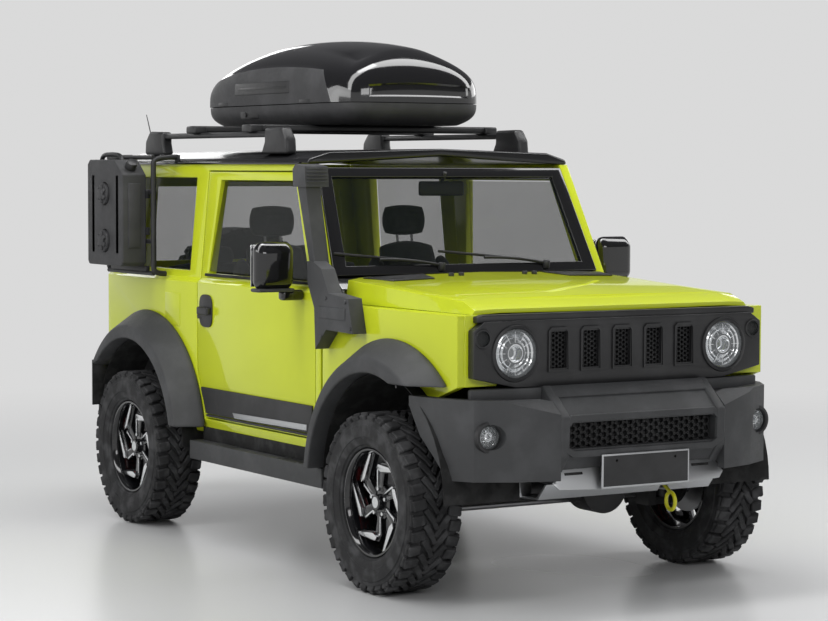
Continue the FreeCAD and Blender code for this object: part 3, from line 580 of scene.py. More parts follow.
def corners(side, near, far, low, high):
    """A box's corners on one side, from two distances and two (y, z) places."""
    left, right = span(side, near, far)
    return (left, *low), (right, *high)


def polar(radius, degrees):
    """A point of a circle, by its radius and angle."""
    turn = math.radians(degrees)
    return radius * math.cos(turn), radius * math.sin(turn)


# ------------------------------------------------------------------ settings
class LookSettings(bpy.types.PropertyGroup):
    paint: bpy.props.FloatVectorProperty(
        name="Paint", description="Colour of the painted panels", subtype="COLOR",
        size=3, min=0, max=1, default=(0.60, 0.68, 0.020))
    plastic: bpy.props.FloatVectorProperty(
        name="Plastic", description="Colour of the grained plastic", subtype="COLOR",
        size=3, min=0, max=1, default=(0.042, 0.043, 0.045))
    panel_round: bpy.props.FloatProperty(
        name="Panel edge", description="Rounding of a panel's edges", unit="LENGTH",
        default=0.006, min=0.001, max=0.02)


class WheelSettings(bpy.types.PropertyGroup):
    spokes: bpy.props.IntProperty(
        name="Spokes", description="Spokes of a rim", default=6, min=4, max=10)
    tread_blocks: bpy.props.IntProperty(
        name="Tread blocks", description="Blocks round each row of the tread", default=36,
        min=20, max=48)
    tread_depth: bpy.props.FloatProperty(
        name="Tread depth", description="Height of a tread block", unit="LENGTH",
        default=0.014, min=0.004, max=0.02)


class StudioSettings(bpy.types.PropertyGroup):
    camera_place: bpy.props.FloatVectorProperty(
        name="Camera", description="Where the camera stands", subtype="TRANSLATION",
        size=3, default=(-5.634, -9.328, 1.675))
    heading: bpy.props.FloatProperty(
        name="Heading", description="Camera turn about the vertical", subtype="ANGLE",
        default=math.radians(31.34))
    pitch: bpy.props.FloatProperty(
        name="Pitch", description="Camera tilt below the horizon", subtype="ANGLE",
        default=math.radians(-3.36))
    roll: bpy.props.FloatProperty(
        name="Roll", description="Camera turn about its own axis", subtype="ANGLE",
        default=math.radians(0.134))
    lens: bpy.props.FloatProperty(
        name="Lens", description="Focal length in millimetres", default=105.7, min=20, max=300)


class Builder:
    """Base of the operators that make pieces"""

    @property
    def look(self):
        return bpy.context.scene.offroad_look

    @property
    def wheel(self):
        return bpy.context.scene.offroad_wheel

    def execute(self, context):
        self.make()
        return {"FINISHED"}


# ------------------------------------------------------------------ pieces
class OFFROAD_OT_finishes(Builder, bpy.types.Operator):
    """Makes every finish and gives the frame's own parts theirs"""
    bl_idname = "offroad.finishes"
    bl_label = "Finishes"

    def make(self):
        FINISH.update(all_materials(self.look))
        carried = {
            "chassis": ("chassis_frame", "front_axle", "rear_axle", "trailing_arms",
                        "right_knuckle", "left_knuckle"),
            # The floor pan takes the dark cabin plastic: dark carpet inside, and painted shade on
            # its underside, wheel boxes and toe board.
            "cabin": ("floor_pan",),
            "silver": ("transfer_case",),
            "steel": ("tie_rod",),
        }
        for finish, nodes in carried.items():
            for node in nodes:
                mesh = NODES[node].data
                mesh.materials.clear()
                mesh.materials.append(FINISH[finish])


class OFFROAD_OT_panels(Builder, bpy.types.Operator):
    """Rounds the painted panels and the roof"""
    bl_idname = "offroad.panels"
    bl_label = "Painted panels"

    def make(self):
        edge = self.look.panel_round
        panels = (
            ("right_body_side", "car_body", "paint", edge),
            ("left_body_side", "car_body", "paint", edge),
            ("right_door", "right_door", "paint", edge),
            ("left_door", "left_door", "paint", edge),
            ("front_wings", "car_body", "paint", edge * 2.2),
            ("hood", "hood", "paint", edge * 2),
            ("rear_panel", "car_body", "paint", edge * 0.6),
            ("rear_door", "tailgate", "paint", edge),
            ("roof_panel", "car_body", "roof", edge * 3),
            ("windscreen_frame", "car_body", "black", edge * 0.8),
        )
        for node, body, finish, width in panels:
            piece(node + "_skin", softened(node, width, 3), body, finish,
                  replaces=(node,))
        pads = bmesh.new()
        for _, side in SIDES:
            outline = [(x * side, y) for x, y in ((0.30, -0.645), (0.34, -0.80), (0.55, -0.82),
                                                  (0.60, -0.655))]
            add_plate(pads, "z", outline[::side], HOOD_PADS_FROM, HOOD_PADS_FROM + 0.006, 0.002)
            for x in (0.16, 0.21):
                add_rod(pads, (x * side, -0.72, 1.224), (x * side, -0.72, 1.243), 0.012, 12,
                        round_by=0.003)
        hood = softened("hood", 0.001, 1)
        # Each pad follows the curve of the hood below it.
        top = BVHTree.FromBMesh(hood)
        hood.free()
        for vert in pads.verts:
            under = top.ray_cast(Vector((vert.co.x, vert.co.y, 1.5)), Vector((0, 0, -1)))[0]
            if under is not None:
                vert.co.z = under.z + max(vert.co.z - HOOD_PADS_FROM, -0.003)
        piece("hood_pads_and_jets", pads, "hood", "trim")


class OFFROAD_OT_side_trim(Builder, bpy.types.Operator):
    """Seals, handles, flap, cladding and strips of the sides"""
    bl_idname = "offroad.side_trim"
    bl_label = "Side trim"

    def make(self):
        for name, side in SIDES:
            skin = max(abs(corner[0]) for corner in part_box(name + "_door"))
            door = name + "_door"
            bm = bmesh.new()
            lower = [(-0.478, 0.565), (0.512, 0.565), (0.535, 0.62), (0.56, 0.668),
                     (0.56, 0.682), (-0.478, 0.682)]
            add_plate(bm, "x", lower, skin * side, (skin + 0.010) * side, 0.004)
            add_plate(bm, "x", [(-0.478, 0.552), (0.50, 0.552), (0.505, 0.562), (-0.478, 0.562)],
                      skin * side, (skin + 0.012) * side, 0.002)
            strip = [(-0.44, 0.575), (0.22, 0.566), (0.24, 0.59), (-0.44, 0.60)]
            add_plate(bm, "x", strip, (skin + 0.009) * side, (skin + 0.0135) * side, 0.0015,
                      index=1)
            piece(door + "_cladding", bm, door, ("cladding", "silver"))
            bm = bmesh.new()
            turns = [TURN * k / 36 for k in range(36)]
            cup = [(0.520 + 0.064 * bulge(math.cos(turn)), 1.028 + 0.074 * bulge(math.sin(turn)))
                   for turn in turns]
            add_plate(bm, "x", cup, *span(side, skin, skin + 0.006), 0.0025)
            add_block(bm, *corners(side, skin + 0.012, skin + 0.026, (0.470, 1.010),
                                   (0.572, 1.046)), 0.006, 4)
            for y in (0.476, 0.566):
                add_block(bm, *corners(side, skin + 0.004, skin + 0.022, (y - 0.010, 1.014),
                                       (y + 0.010, 1.042)), 0.004)
            add_rod(bm, (skin * side, 0.597, 1.0), ((skin + 0.004) * side, 0.597, 1.0), 0.011)
            piece(door + "_handle", bm, door, "trim")
            bm = bmesh.new()
            add_block(bm, *corners(side, skin - 0.018, skin - 0.006, (-0.41, 1.184),
                                   (0.55, 1.197)), 0.003)
            piece(name + "_belt_seal", bm, door, "seal")
            bm = bmesh.new()
            add_block(bm, *corners(side, 0.664, 0.68, (-0.24, 1.688), (1.56, 1.699)), 0.003)
            piece(name + "_drip_rail", bm, "car_body", "black")
        bm = bmesh.new()
        add_block(bm, (-0.7375, 0.79, 0.945), (-0.734, 0.945, 1.095), 0.012, 3)
        add_rod(bm, (-0.736, 0.802, 1.02), (-0.7385, 0.802, 1.02), 0.006, 12)
        piece("fuel_flap", bm, "car_body", "paint")


def bulge(share):
    """A sine or cosine pushed outward, which makes a circle squarer."""
    return math.copysign(abs(share) ** 0.6, share)


class OFFROAD_OT_glass(Builder, bpy.types.Operator):
    """Panes with rounded edges, wipers and the inside mirror"""
    bl_idname = "offroad.glass"
    bl_label = "Glass"

    def make(self):
        panes = (("windscreen", "car_body"), ("quarter_windows", "car_body"),
                 ("right_door_window", "right_door"), ("left_door_window", "left_door"),
                 ("rear_window", "tailgate"))
        for node, body in panes:
            piece(node + "_pane", softened(node, 0.0012, 1), body, "glass",
                  replaces=(node,))
        place = (Matrix.Translation((0, -0.54, 1.225))
                 @ Matrix.Rotation(math.radians(-26.5), 4, "X"))
        up, out = polar(1, 84)
        bm = bmesh.new()
        for x, length in ((-0.14, 0.40), (0.40, 0.42)):
            start = Vector((x, -0.008, 0.035))
            reach = Vector((-out, 0, up)) * length
            arm = (start, start + reach * 0.4 + Vector((0, -0.012, 0.012)), start + reach * 0.75)
            add_tube(bm, [place @ point for point in arm], 0.0065)
            blade = start + reach * 0.30 + Vector((0, 0.004, 0.012))
            add_tube(bm, [place @ (blade + reach * share) for share in (0, 0.5, 0.98)], 0.006,
                     sides=2)
            pivot = place @ start
            add_rod(bm, pivot + Vector((0, 0, -0.022)), pivot + Vector((0, -0.004, 0.012)),
                    0.016, 20, round_by=0.004)
        piece("wipers", bm, "car_body", "trim")
        bm = bmesh.new()
        add_block(bm, (-0.115, -0.004, -0.032), (0.115, 0.018, 0.032), 0.012, 3,
                  place=Matrix.Translation((0, -0.31, 1.585)))
        add_rod(bm, (0, -0.305, 1.61), (0, -0.335, 1.655), 0.008, 12)
        piece("inside_mirror", bm, "car_body", "cabin")


class OFFROAD_OT_wheels(Builder, bpy.types.Operator):
    """Spoked rims, discs and block-treaded tyres"""
    bl_idname = "offroad.wheels"
    bl_label = "Wheels"

    def rim(self):
        bm = bmesh.new()
        barrel = ((-0.0915, 0.2155), (-0.08, 0.2155), (-0.068, 0.2005), (0.068, 0.2005),
                  (0.08, 0.2155), (0.089, 0.2155), (0.0915, 0.213), (0.0915, 0.206),
                  (0.084, 0.200), (0.060, 0.1945), (-0.060, 0.1945), (-0.08, 0.204),
                  (-0.0915, 0.206))
        add_spun(bm, barrel, (0, 0, 0), (1, 0, 0), 96)
        arm = ((0.045, -20), (0.088, -12), (0.122, -10), (0.196, -45), (0.197, -31), (0.160, 3),
               (0.130, 12), (0.090, 14), (0.045, 22))
        blade = ((0.127, -8), (0.193, -42), (0.1965, -41), (0.1965, -37), (0.154, 1), (0.137, 6))
        insert = ((0.056, 13), (0.060, 19), (0.128, 11.5), (0.133, 6.5), (0.120, 8))
        for spoke in range(self.wheel.spokes):
            base = 360 / self.wheel.spokes * spoke + 25
            for shape, low, high, round_by, index in ((arm, 0.026, 0.050, 0.004, 0),
                                                      (blade, 0.049, 0.066, 0.004, 1),
                                                      (insert, 0.049, 0.0555, 0.0018, 1)):
                outline = [polar(radius, angle + base) for radius, angle in shape]
                add_plate(bm, "x", outline, low, high, round_by, 2, index)
        add_rod(bm, (0.0, 0, 0), (0.046, 0, 0), 0.070, 48, round_by=0.004)
        add_rod(bm, (0.046, 0, 0), (0.070, 0, 0), 0.034, 40, end_radius=0.030, round_by=0.003)
        add_rod(bm, (0.070, 0, 0), (0.0715, 0, 0), 0.022, 32, index=1)
        for nut in range(5):
            y, z = polar(0.0535, 72 * nut + 18)
            add_rod(bm, (0.045, y, z), (0.060, y, z), 0.0095, 6, 1, 0.008)
        disc = ((-0.030, 0.05), (-0.030, 0.142), (-0.018, 0.142), (-0.018, 0.05))
        add_spun(bm, disc, (0, 0, 0), (1, 0, 0), 64, 2)
        add_rod(bm, (-0.06, 0, 0), (-0.005, 0, 0), 0.062, 40, 2)
        return bm

    def tyre(self):
        top = TYRE_RADIUS
        crown = top - self.wheel.tread_depth
        half = [(0.000, crown), (0.060, crown), (0.088, crown - 0.003), (0.103, 0.333),
                (0.110, 0.325), (0.1105, 0.312), (0.1145, 0.308), (0.1155, 0.285),
                (0.1150, 0.262), (0.1120, 0.260), (0.1085, 0.243), (0.1040, 0.232),
                (0.0985, 0.2285), (0.0950, 0.221), (0.080, 0.2165), (0.074, 0.206),
                (0.060, 0.2035)]
        profile = half + [(-x, r) for x, r in reversed(half[1:])]
        bm = bmesh.new()
        add_spun(bm, profile, (0, 0, 0), (1, 0, 0), 120)
        count = self.wheel.tread_blocks
        pitch = TURN * top / count
        for number in range(count):
            long = number % 2
            rows = (
                # width, length, distance from the middle, skew, shift round, foot
                (0.050 + 0.008 * long, pitch * 0.66, 0.0830 - 0.004 * long, 10, 0.0,
                 crown - 0.008),
                (0.025, pitch * 1.02, 0.0330, 38, 0.30, crown - 0.004),
                (0.021, pitch * 0.80, 0.0105, 30, 0.75, crown - 0.004),
            )
            for side in (-1, 1):
                half_step = 0.5 if side > 0 else 0
                for across, length, centre, skew, shift, low in rows:
                    turn = Matrix.Rotation(TURN * (number + shift + half_step) / count, 4, "X")
                    shape = (turn @ Matrix.Translation((centre * side, 0, (low + top) / 2))
                             @ Matrix.Rotation(math.radians(skew * side), 4, "Z"))
                    add_block(bm, (-across / 2, -length / 2, (low - top) / 2),
                              (across / 2, length / 2, (top - low) / 2), 0.0035, 1, place=shape)
                shape = (Matrix.Rotation(TURN * (number + half_step) / count, 4, "X")
                         @ Matrix.Translation((0.1035 * side, 0, 0.331))
                         @ Matrix.Rotation(math.radians(24 * side), 4, "Y"))
                add_block(bm, (-0.007, -pitch * 0.36, -0.016 - 0.008 * long),
                          (0.007, pitch * 0.36, 0.016), 0.003, 1, place=shape)
        return bm

    def make(self):
        rim, tyre = self.rim(), self.tyre()
        turns = {"right": math.pi, "left": 0.0}
        for name in ROAD_WHEELS + ("spare",):
            turn = turns.get(name.split("_")[-1], math.pi / 2)
            place = Matrix.Translation(middle(name + "_tyre")) @ Matrix.Rotation(turn, 4, "Z")
            body = "tailgate" if name == "spare" else name + "_wheel"
            piece(name + "_spoked_rim", copied(rim, place), body,
                  ("rim", "machined", "steel"), replaces=(name + "_rim",))
            piece(name + "_tread_tyre", copied(tyre, place), body, "rubber", 28,
                  replaces=(name + "_tyre",))
        rim.free()
        tyre.free()
        for name, side in SIDES:
            for axle, y, body in (("front", FRONT_AXLE, name + "_knuckle"),
                                  ("rear", REAR_AXLE, "car_body")):
                bm = bmesh.new()
                add_block(bm, *corners(side, 0.700, 0.748, (y + 0.085, 0.30), (y + 0.135, 0.42)),
                          0.008)
                piece("%s_%s_caliper" % (axle, name), bm, body, "red")


class OFFROAD_OT_nose(Builder, bpy.types.Operator):
    """Grille panel, honeycomb, lamps"""
    bl_idname = "offroad.nose"
    bl_label = "Grille and lamps"

    def headlamp(self, bm, x, y, z, radius):
        """Bowl, ring, projector and reflector ribs of a round lamp that faces -Y."""
        centre = (x, y, z)
        bowl = [(-0.034 + 0.030 * (step / 8) ** 1.6, radius * (0.20 + 0.74 * step / 8))
                for step in range(9)]
        bowl += [(along - 0.002, r + 0.002) for along, r in reversed(bowl)]
        add_spun(bm, bowl, centre, FORWARD, 64)
        for rib in range(12):
            turn = Matrix.Translation(centre) @ Matrix.Rotation(TURN * rib / 12, 4, "Y")
            add_block(bm, (-radius * 0.012, -0.002, radius * 0.42),
                      (radius * 0.012, 0.022, radius * 0.90), place=turn)
        rings = [((0.001, ring), (0.003, ring + 0.02), (-0.012, ring + 0.02), (-0.014, ring))
                 for ring in (0.62, 0.80)]
        rings.append(((-0.030, 0.36), (0.004, 0.40), (0.004, 0.34), (-0.024, 0.30)))
        for ring, steps in zip(rings, (64, 64, 48)):
            add_spun(bm, [(along, radius * share) for along, share in ring], centre, FORWARD,
                     steps)
        arc = [polar(1, degrees) for degrees in range(0, 91, 10)]
        add_spun(bm, [(-0.012 + 0.018 * along, radius * 0.33 * across) for along, across in arc],
                 centre, FORWARD, 40, 1, closed=False)

    def lens(self, bm, x, y, z, radius, swell, index=0):
        """A domed cover that faces -Y."""
        dome = [(swell * (1 - (step / 9) ** 2.4), radius * step / 9) for step in range(10)]
        dome += [(-0.003, radius), (-0.003, radius * 0.985)]
        add_spun(bm, dome, (x, y, z), FORWARD, 64, index, closed=False)

    def make(self):
        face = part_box("grille_panel")[0][1]
        piece("grille_plate", softened("grille_panel", self.look.panel_round * 0.5), "car_body",
              "trim", replaces=("grille_panel",))
        bm = bmesh.new()
        for index in range(-2, 3):
            x = 0.1515 * index
            honeycomb(bm, (x - 0.033, 0.912), (x + 0.036, 1.044), face + 0.012, 0.014, 0.0105,
                      0.0024)
            outer = [(x - 0.050, 0.892), (x + 0.050, 0.892), (x + 0.050, 1.050),
                     (x + 0.036, 1.064), (x - 0.036, 1.064), (x - 0.050, 1.050)]
            ring = bmesh.new()
            faces = add_plate(ring, "y", outer, face - 0.006, face + 0.001)
            open_frame(ring, faces, 0.0105)
            joined(bm, ring)
        add_plate(bm, "y", [(-0.668, 1.090), (0.668, 1.090), (0.668, 1.112), (0.64, 1.119),
                            (-0.64, 1.119), (-0.668, 1.112)], face + 0.012, face + 0.055, 0.004)
        # A flat dark plate close behind the honeycomb: painted shade for the dark inside of the
        # grille.
        add_plate(bm, "y", [(-0.40, 0.90), (0.40, 0.90), (0.40, 1.055), (-0.40, 1.055)],
                  face + 0.030, face + 0.038)
        piece("grille_slots", bm, "car_body", "trim")

        chrome, clear, bezels = bmesh.new(), bmesh.new(), bmesh.new()
        head_rim = ((-0.03, 0.0935), (0.006, 0.0935), (0.010, 0.098), (0.006, 0.108),
                    (-0.002, 0.112), (-0.002, 0.1))
        fog_rim = ((-0.02, 0.0445), (0.014, 0.0455), (0.020, 0.050), (0.018, 0.060),
                   (-0.002, 0.063), (-0.01, 0.05))
        inner_ring = ((-0.030, 0.030), (0.007, 0.036), (0.007, 0.041), (-0.030, 0.037))
        marker_rim = ((-0.01, 0.0295), (0.003, 0.0295), (0.004, 0.036), (-0.002, 0.040),
                      (-0.004, 0.032))
        for _, side in SIDES:
            head, fog, marker = LAMP_X * side, FOG_X * side, MARKER_X * side
            self.headlamp(chrome, head, face + 0.006, LAMP_Z, 0.092)
            self.headlamp(chrome, fog, -1.668, FOG_Z, 0.043)
            self.lens(clear, head, face, LAMP_Z, 0.0935, 0.010)
            self.lens(clear, fog, -1.674, FOG_Z, 0.0445, 0.006)
            self.lens(clear, marker, face, MARKER_Z, 0.030, 0.005, 1)
            add_spun(bezels, head_rim, (head, face, LAMP_Z), FORWARD, 64)
            add_spun(bezels, fog_rim, (fog, -1.672, FOG_Z), FORWARD, 48)
            add_rod(bezels, (marker, face + 0.012, MARKER_Z), (marker, face + 0.03, MARKER_Z),
                    0.034, 32)
            add_spun(bezels, inner_ring, (head, face + 0.006, LAMP_Z), FORWARD, 48)
            add_spun(bezels, marker_rim, (marker, face, MARKER_Z), FORWARD, 40)
        piece("lamp_reflectors", chrome, "car_body", ("chrome", "lens"), 30,
              replaces=("front_lamps",))
        piece("lamp_covers", clear, "car_body", ("lens", "glass"), 40)
        piece("lamp_bezels", bezels, "car_body", "trim", 30)


class OFFROAD_OT_bumpers(Builder, bpy.types.Operator):
    """Front and rear bumpers, skid plate, blank plates and tow eyes"""
    bl_idname = "offroad.bumpers"
    bl_label = "Bumpers"

    def make(self):
        edge = self.look.panel_round
        shell = softened("front_bumper", edge * 2.3, 4)
        # The trailing corners stand clear of a steered wheel.
        for vert in shell.verts:
            if abs(vert.co.x) > 0.55 and vert.co.y > -1.53 and vert.co.z < 0.80:
                vert.co.y -= 0.007
        piece("front_bumper_shell", shell, "car_body", "plastic",
              replaces=("front_bumper",))
        bm = bmesh.new()
        honeycomb(bm, (-0.343, 0.610), (0.350, 0.712), -1.762, 0.016, 0.0165, 0.0034)
        # A flat dark plate close behind the mesh: painted shade for the dark inside of the
        # bumper's mouth.
        add_plate(bm, "y", [(-0.36, 0.60), (0.36, 0.60), (0.36, 0.715), (-0.36, 0.715)],
                  -1.738, -1.732)
        piece("mouth_mesh", bm, "car_body", "trim")
        bm = bmesh.new()
        ring = [(-0.385, 0.605), (-0.335, 0.575), (0.335, 0.575), (0.385, 0.605), (0.385, 0.700),
                (0.345, 0.738), (-0.345, 0.738), (-0.385, 0.700)]
        faces = add_plate(bm, "y", ring, -1.799, -1.78)
        open_frame(bm, faces, 0.028)
        bevel_all(bm, bm.faces[:], 0.004)
        rib = [(-1.640, 0.838), (-1.674, 0.845), (-1.803, 0.732), (-1.796, 0.585), (-1.712, 0.465),
               (-1.640, 0.468)]
        for _, side in SIDES:
            add_plate(bm, "x", rib, *span(side, 0.352, 0.394), 0.008, 3)
        add_plate(bm, "x", [(-1.650, 0.830), (-1.674, 0.845), (-1.722, 0.803), (-1.705, 0.790)],
                  -0.37, 0.37, 0.006, 3)
        add_plate(bm, "z", [(-0.690, -1.598), (-0.690, -1.622), (-0.392, -1.662), (0.392, -1.662),
                            (0.690, -1.622), (0.690, -1.598)], 0.790, 0.8365, 0.006)
        piece("mouth_surround", bm, "car_body", "plastic")
        piece("skid_guard", softened("skid_plate", 0.0018), "car_body", "silver",
              replaces=("skid_plate",))
        bm = bmesh.new()
        chin = [(-0.41, 0.475), (-0.36, 0.556), (0.36, 0.556), (0.41, 0.475), (0.385, 0.448),
                (0.16, 0.436), (-0.16, 0.436), (-0.385, 0.448)]
        tilt = Matrix.Translation((0, -1.752, 0.5)) @ Matrix.Rotation(math.radians(-24), 4, "X")
        sheet = bmesh.new()
        add_plate(sheet, "y", [(x, z - 0.5) for x, z in chin], -0.003, 0.003, 0.0015)
        bmesh.ops.transform(sheet, matrix=tilt, verts=sheet.verts)
        joined(bm, sheet)
        # Near-black blocks on the plate: painted shade for the dark inside of open slots.
        slots = bmesh.new()
        for _, side in SIDES:
            for x, z, long in ((0.235, 0.032, 0.050), (0.300, 0.032, 0.050),
                               (0.262, 0.008, 0.085)):
                add_block(slots, *corners(side, x, x + long, (-0.0042, z - 0.0055),
                                          (0.0, z + 0.0055)), 0.001, 1, place=tilt)
        for face in slots.faces:
            face.material_index = 1
        joined(bm, slots)
        piece("chin_plate", bm, "car_body", ("silver", "seal"))

        bm = bmesh.new()
        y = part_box("number_plate")[0][1]
        add_block(bm, (-0.21, y + 0.0005, 0.449), (0.21, y + 0.0085, 0.582), 0.003, 2, 1)
        add_block(bm, (-0.203, y, 0.456), (0.203, y + 0.004, 0.575), 0.0015, 2, 2)
        for x in (-0.14, 0.14):
            add_rod(bm, (x, y, 0.555), (x, y + 0.004, 0.555), 0.005, 12)
        add_block(bm, (-0.06, y + 0.008, 0.540), (0.06, y + 0.0185, 0.580), 0.002, 1, 2)
        piece("blank_number_plate", bm, "car_body", ("plate", "silver", "trim"),
              replaces=("number_plate",))

        bm = bmesh.new()
        for y, way in ((-1.60, -1), (1.56, 1)):
            eye = Vector((0.178, y + 0.13 * way, 0.372))
            around = [polar(1, degrees) for degrees in range(0, 360, 30)]
            loop = [eye + Vector((0, 0.030 * across, 0.036 * up - 0.004)) for up, across in around]
            add_tube(bm, loop, 0.0078, closed=True, sides=4)
            add_tube(bm, [(0.178, y - 0.085 * way, 0.498), (0.178, y + 0.02 * way, 0.47),
                          (0.178, y + 0.09 * way, 0.425), eye + Vector((0, 0, 0.03))], 0.008,
                     sides=4)
        piece("tow_loops", bm, "car_body", "yellow", replaces=("tow_eyes",))

        piece("rear_bumper_shell", softened("rear_bumper", edge * 2, 3), "car_body",
              "plastic", replaces=("rear_bumper",))
        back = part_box("rear_bumper")[1][1]
        lights = bmesh.new()
        for _, side in SIDES:
            for index, (near, far) in enumerate(((0.42, 0.56), (0.565, 0.62), (0.625, 0.665))):
                add_block(lights, *corners(side, near, far, (back - 0.004, 0.535),
                                           (back + 0.006, 0.600)), 0.004, 3, index)
        piece("tail_lamps", lights, "car_body", ("red", "amber", "lens"))
        bm = bmesh.new()
        add_block(bm, (-0.21, back + 0.001, 0.49), (0.21, back + 0.007, 0.623), 0.002)
        add_block(bm, (-0.204, back + 0.006, 0.496), (0.204, back + 0.008, 0.617), 0.001, 1, 1)
        piece("rear_blank_plate", bm, "car_body", ("silver", "plate"))


class OFFROAD_OT_outfit(Builder, bpy.types.Operator):
    """Flares, sliders, snorkel, mirrors, rack and can"""
    bl_idname = "offroad.outfit"
    bl_label = "Off-road outfit"

    def make(self):
        edge = self.look.panel_round
        flares = softened("fender_flares", edge * 2.4, 4)
        # Each flare narrows behind its wheel, outside the edge of the arch.
        for vert in flares.verts:
            ahead = vert.co.y < 0
            axle, full, cut = (FRONT_AXLE, 80, 0.42) if ahead else (REAR_AXLE, 55, 0.50)
            across, up = vert.co.y - axle, vert.co.z - ARCH_CENTRE
            reach = math.hypot(across, up)
            lean = math.atan2(across, max(up, 0.0)) / math.radians(full)
            lean = min(1.0, max(0.0, lean))
            ease = lean * lean * (3 - 2 * lean)
            if reach > ARCH_RADIUS + 0.0005:
                wish = ARCH_RADIUS + (reach - ARCH_RADIUS) * (1 - cut * ease)
                vert.co.y = axle + across * wish / reach
                vert.co.z = ARCH_CENTRE + up * wish / reach
        piece("flare_set", flares, "car_body",
              "plastic", 40, replaces=("fender_flares",))
        bm = bmesh.new()
        for _, side in SIDES:
            for axle, first, last in ((FRONT_AXLE, 62, 172), (REAR_AXLE, 12, 150)):
                for angle in range(first, last, 20):
                    across, up = polar(0.497, angle)
                    if ARCH_CENTRE + up > 0.50:
                        place = (0.8615 * side, axle - across, ARCH_CENTRE + up)
                        add_bolts(bm, [place], (side, 0, 0), 0.0065, 0.0004)
        piece("flare_bolts", bm, "car_body", "trim")
        bm = softened("rock_sliders", edge * 1.6, 3)
        for _, side in SIDES:
            for first in (-0.42, 0.20):
                for y in (first + line * 0.036 for line in range(6)):
                    add_block(bm, *corners(side, 0.704, 0.776, (y, 0.4375), (y + 0.015, 0.441)),
                              0.001, 1)
        piece("slider_bars", bm, "car_body", "plastic",
              replaces=("rock_sliders",))
        bm = softened("snorkel", edge * 1.6, 4)
        for row in range(5):
            z = 1.612 + row * 0.014
            add_block(bm, (-0.795, -0.5335, z), (-0.70, -0.528, z + 0.006), 0.001, 1)
        add_bolts(bm, [(-0.80, -0.90, 1.03), (-0.80, -0.86, 1.135), (-0.80, -0.66, 0.985),
                       (-0.80, -0.70, 1.145)], (-1, 0, 0), 0.009, 0.005)
        add_block(bm, (-0.804, -0.86, 1.06), (-0.797, -0.64, 1.11), 0.006, 3)
        piece("snorkel_duct", bm, "car_body", "plastic", 40,
              replaces=("snorkel",))

        for name, side in SIDES:
            node, door = name + "_mirror", name + "_door"
            bm = bmesh.new()
            add_block(bm, *corners(side, 0.782, 0.960, (-0.419, 1.164), (-0.334, 1.366)), 0.040, 7)
            for vert in bm.verts:
                if vert.co.y < -0.38:
                    vert.co.z = 1.262 + (vert.co.z - 1.262) * (1 + (vert.co.y + 0.38) * 4)
            add_block(bm, *corners(side, 0.7352, 0.84, (-0.404, 1.120), (-0.356, 1.164)), 0.014, 4)
            piece(node + "_shell", bm, door, "black", 50, replaces=(node,))
            bm = bmesh.new()
            add_block(bm, *corners(side, 0.79, 0.952, (-0.3315, 1.178), (-0.3285, 1.352)), 0.018,
                      3)
            piece(node + "_glass", bm, door, "mirror")
            bm = bmesh.new()
            add_block(bm, *corners(side, 0.786, 0.958, (-0.414, 1.157), (-0.337, 1.172)), 0.007, 3)
            piece(node + "_base", bm, door, "plastic")

        bm = bmesh.new()
        x, radius = -0.797, 0.0128
        low, high = 1.18, 1.722
        for y in (0.94, 1.44):
            add_tube(bm, [(-0.736, y, low), (x, y, low), (x, y, low + 0.05), (x, y, high - 0.05),
                          (x, y, high), (-0.675, y, high)], radius, sides=5)
            add_block(bm, (-0.680, y - 0.02, 1.692), (-0.6685, y + 0.02, 1.732), 0.002)
        for z in (1.182, 1.33, 1.56, 1.72):
            add_tube(bm, [(x, 0.94, z), (x, 1.44, z)], 0.011, sides=5, smooth=False)
        add_block(bm, (x - 0.018, 0.99, 1.19), (x + 0.004, 1.385, 1.2138), 0.003)
        for z in (1.36, 1.53):
            add_block(bm, (x - 0.014, 0.985, z), (x + 0.003, 1.39, z + 0.035), 0.002)
        piece("rack_tubes", bm, "car_body", "chassis", replaces=("side_rack",))

        low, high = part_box("fuel_can")
        bm = softened("fuel_can", 0.024, 5)
        for z in (1.33, 1.55):
            centre = Vector((low[0] + 0.012, 1.19, z))
            add_rod(bm, centre, centre - Vector((0.024, 0, 0)), 0.050, 40, round_by=0.006)
            add_rod(bm, centre - Vector((0.020, 0, 0)), centre - Vector((0.036, 0, 0)), 0.026, 32,
                    round_by=0.005)
            for arm in range(3):
                turn = (Matrix.Translation(centre - Vector((0.022, 0, 0)))
                        @ Matrix.Rotation(TURN * arm / 3, 4, "X"))
                add_block(bm, (-0.012, -0.010, -0.044), (0.004, 0.010, 0.044), 0.004, 2,
                          place=turn)
        for y in (1.03, 1.30):
            add_block(bm, (low[0], y, 1.27), (low[0] + 0.01, y + 0.035, 1.64), 0.004, 2)
        add_block(bm, (low[0] + 0.03, 0.984, 1.30), (high[0] - 0.03, 0.992, 1.60), 0.003)
        piece("fuel_can_body", bm, "car_body", "box_side", 40,
              replaces=("fuel_can",))
        bm = bmesh.new()
        x = low[0] + 0.06
        add_tube(bm, [(x, y, z) for y, z in ((1.12, 1.706), (1.13, 1.728), (1.20, 1.735),
                                             (1.30, 1.735), (1.34, 1.725), (1.35, 1.705))],
                 0.011, sides=4)
        add_rod(bm, (x, 1.045, 1.655), (x, 1.005, 1.70), 0.026, round_by=0.004)
        piece("fuel_can_fittings", bm, "car_body", "trim")


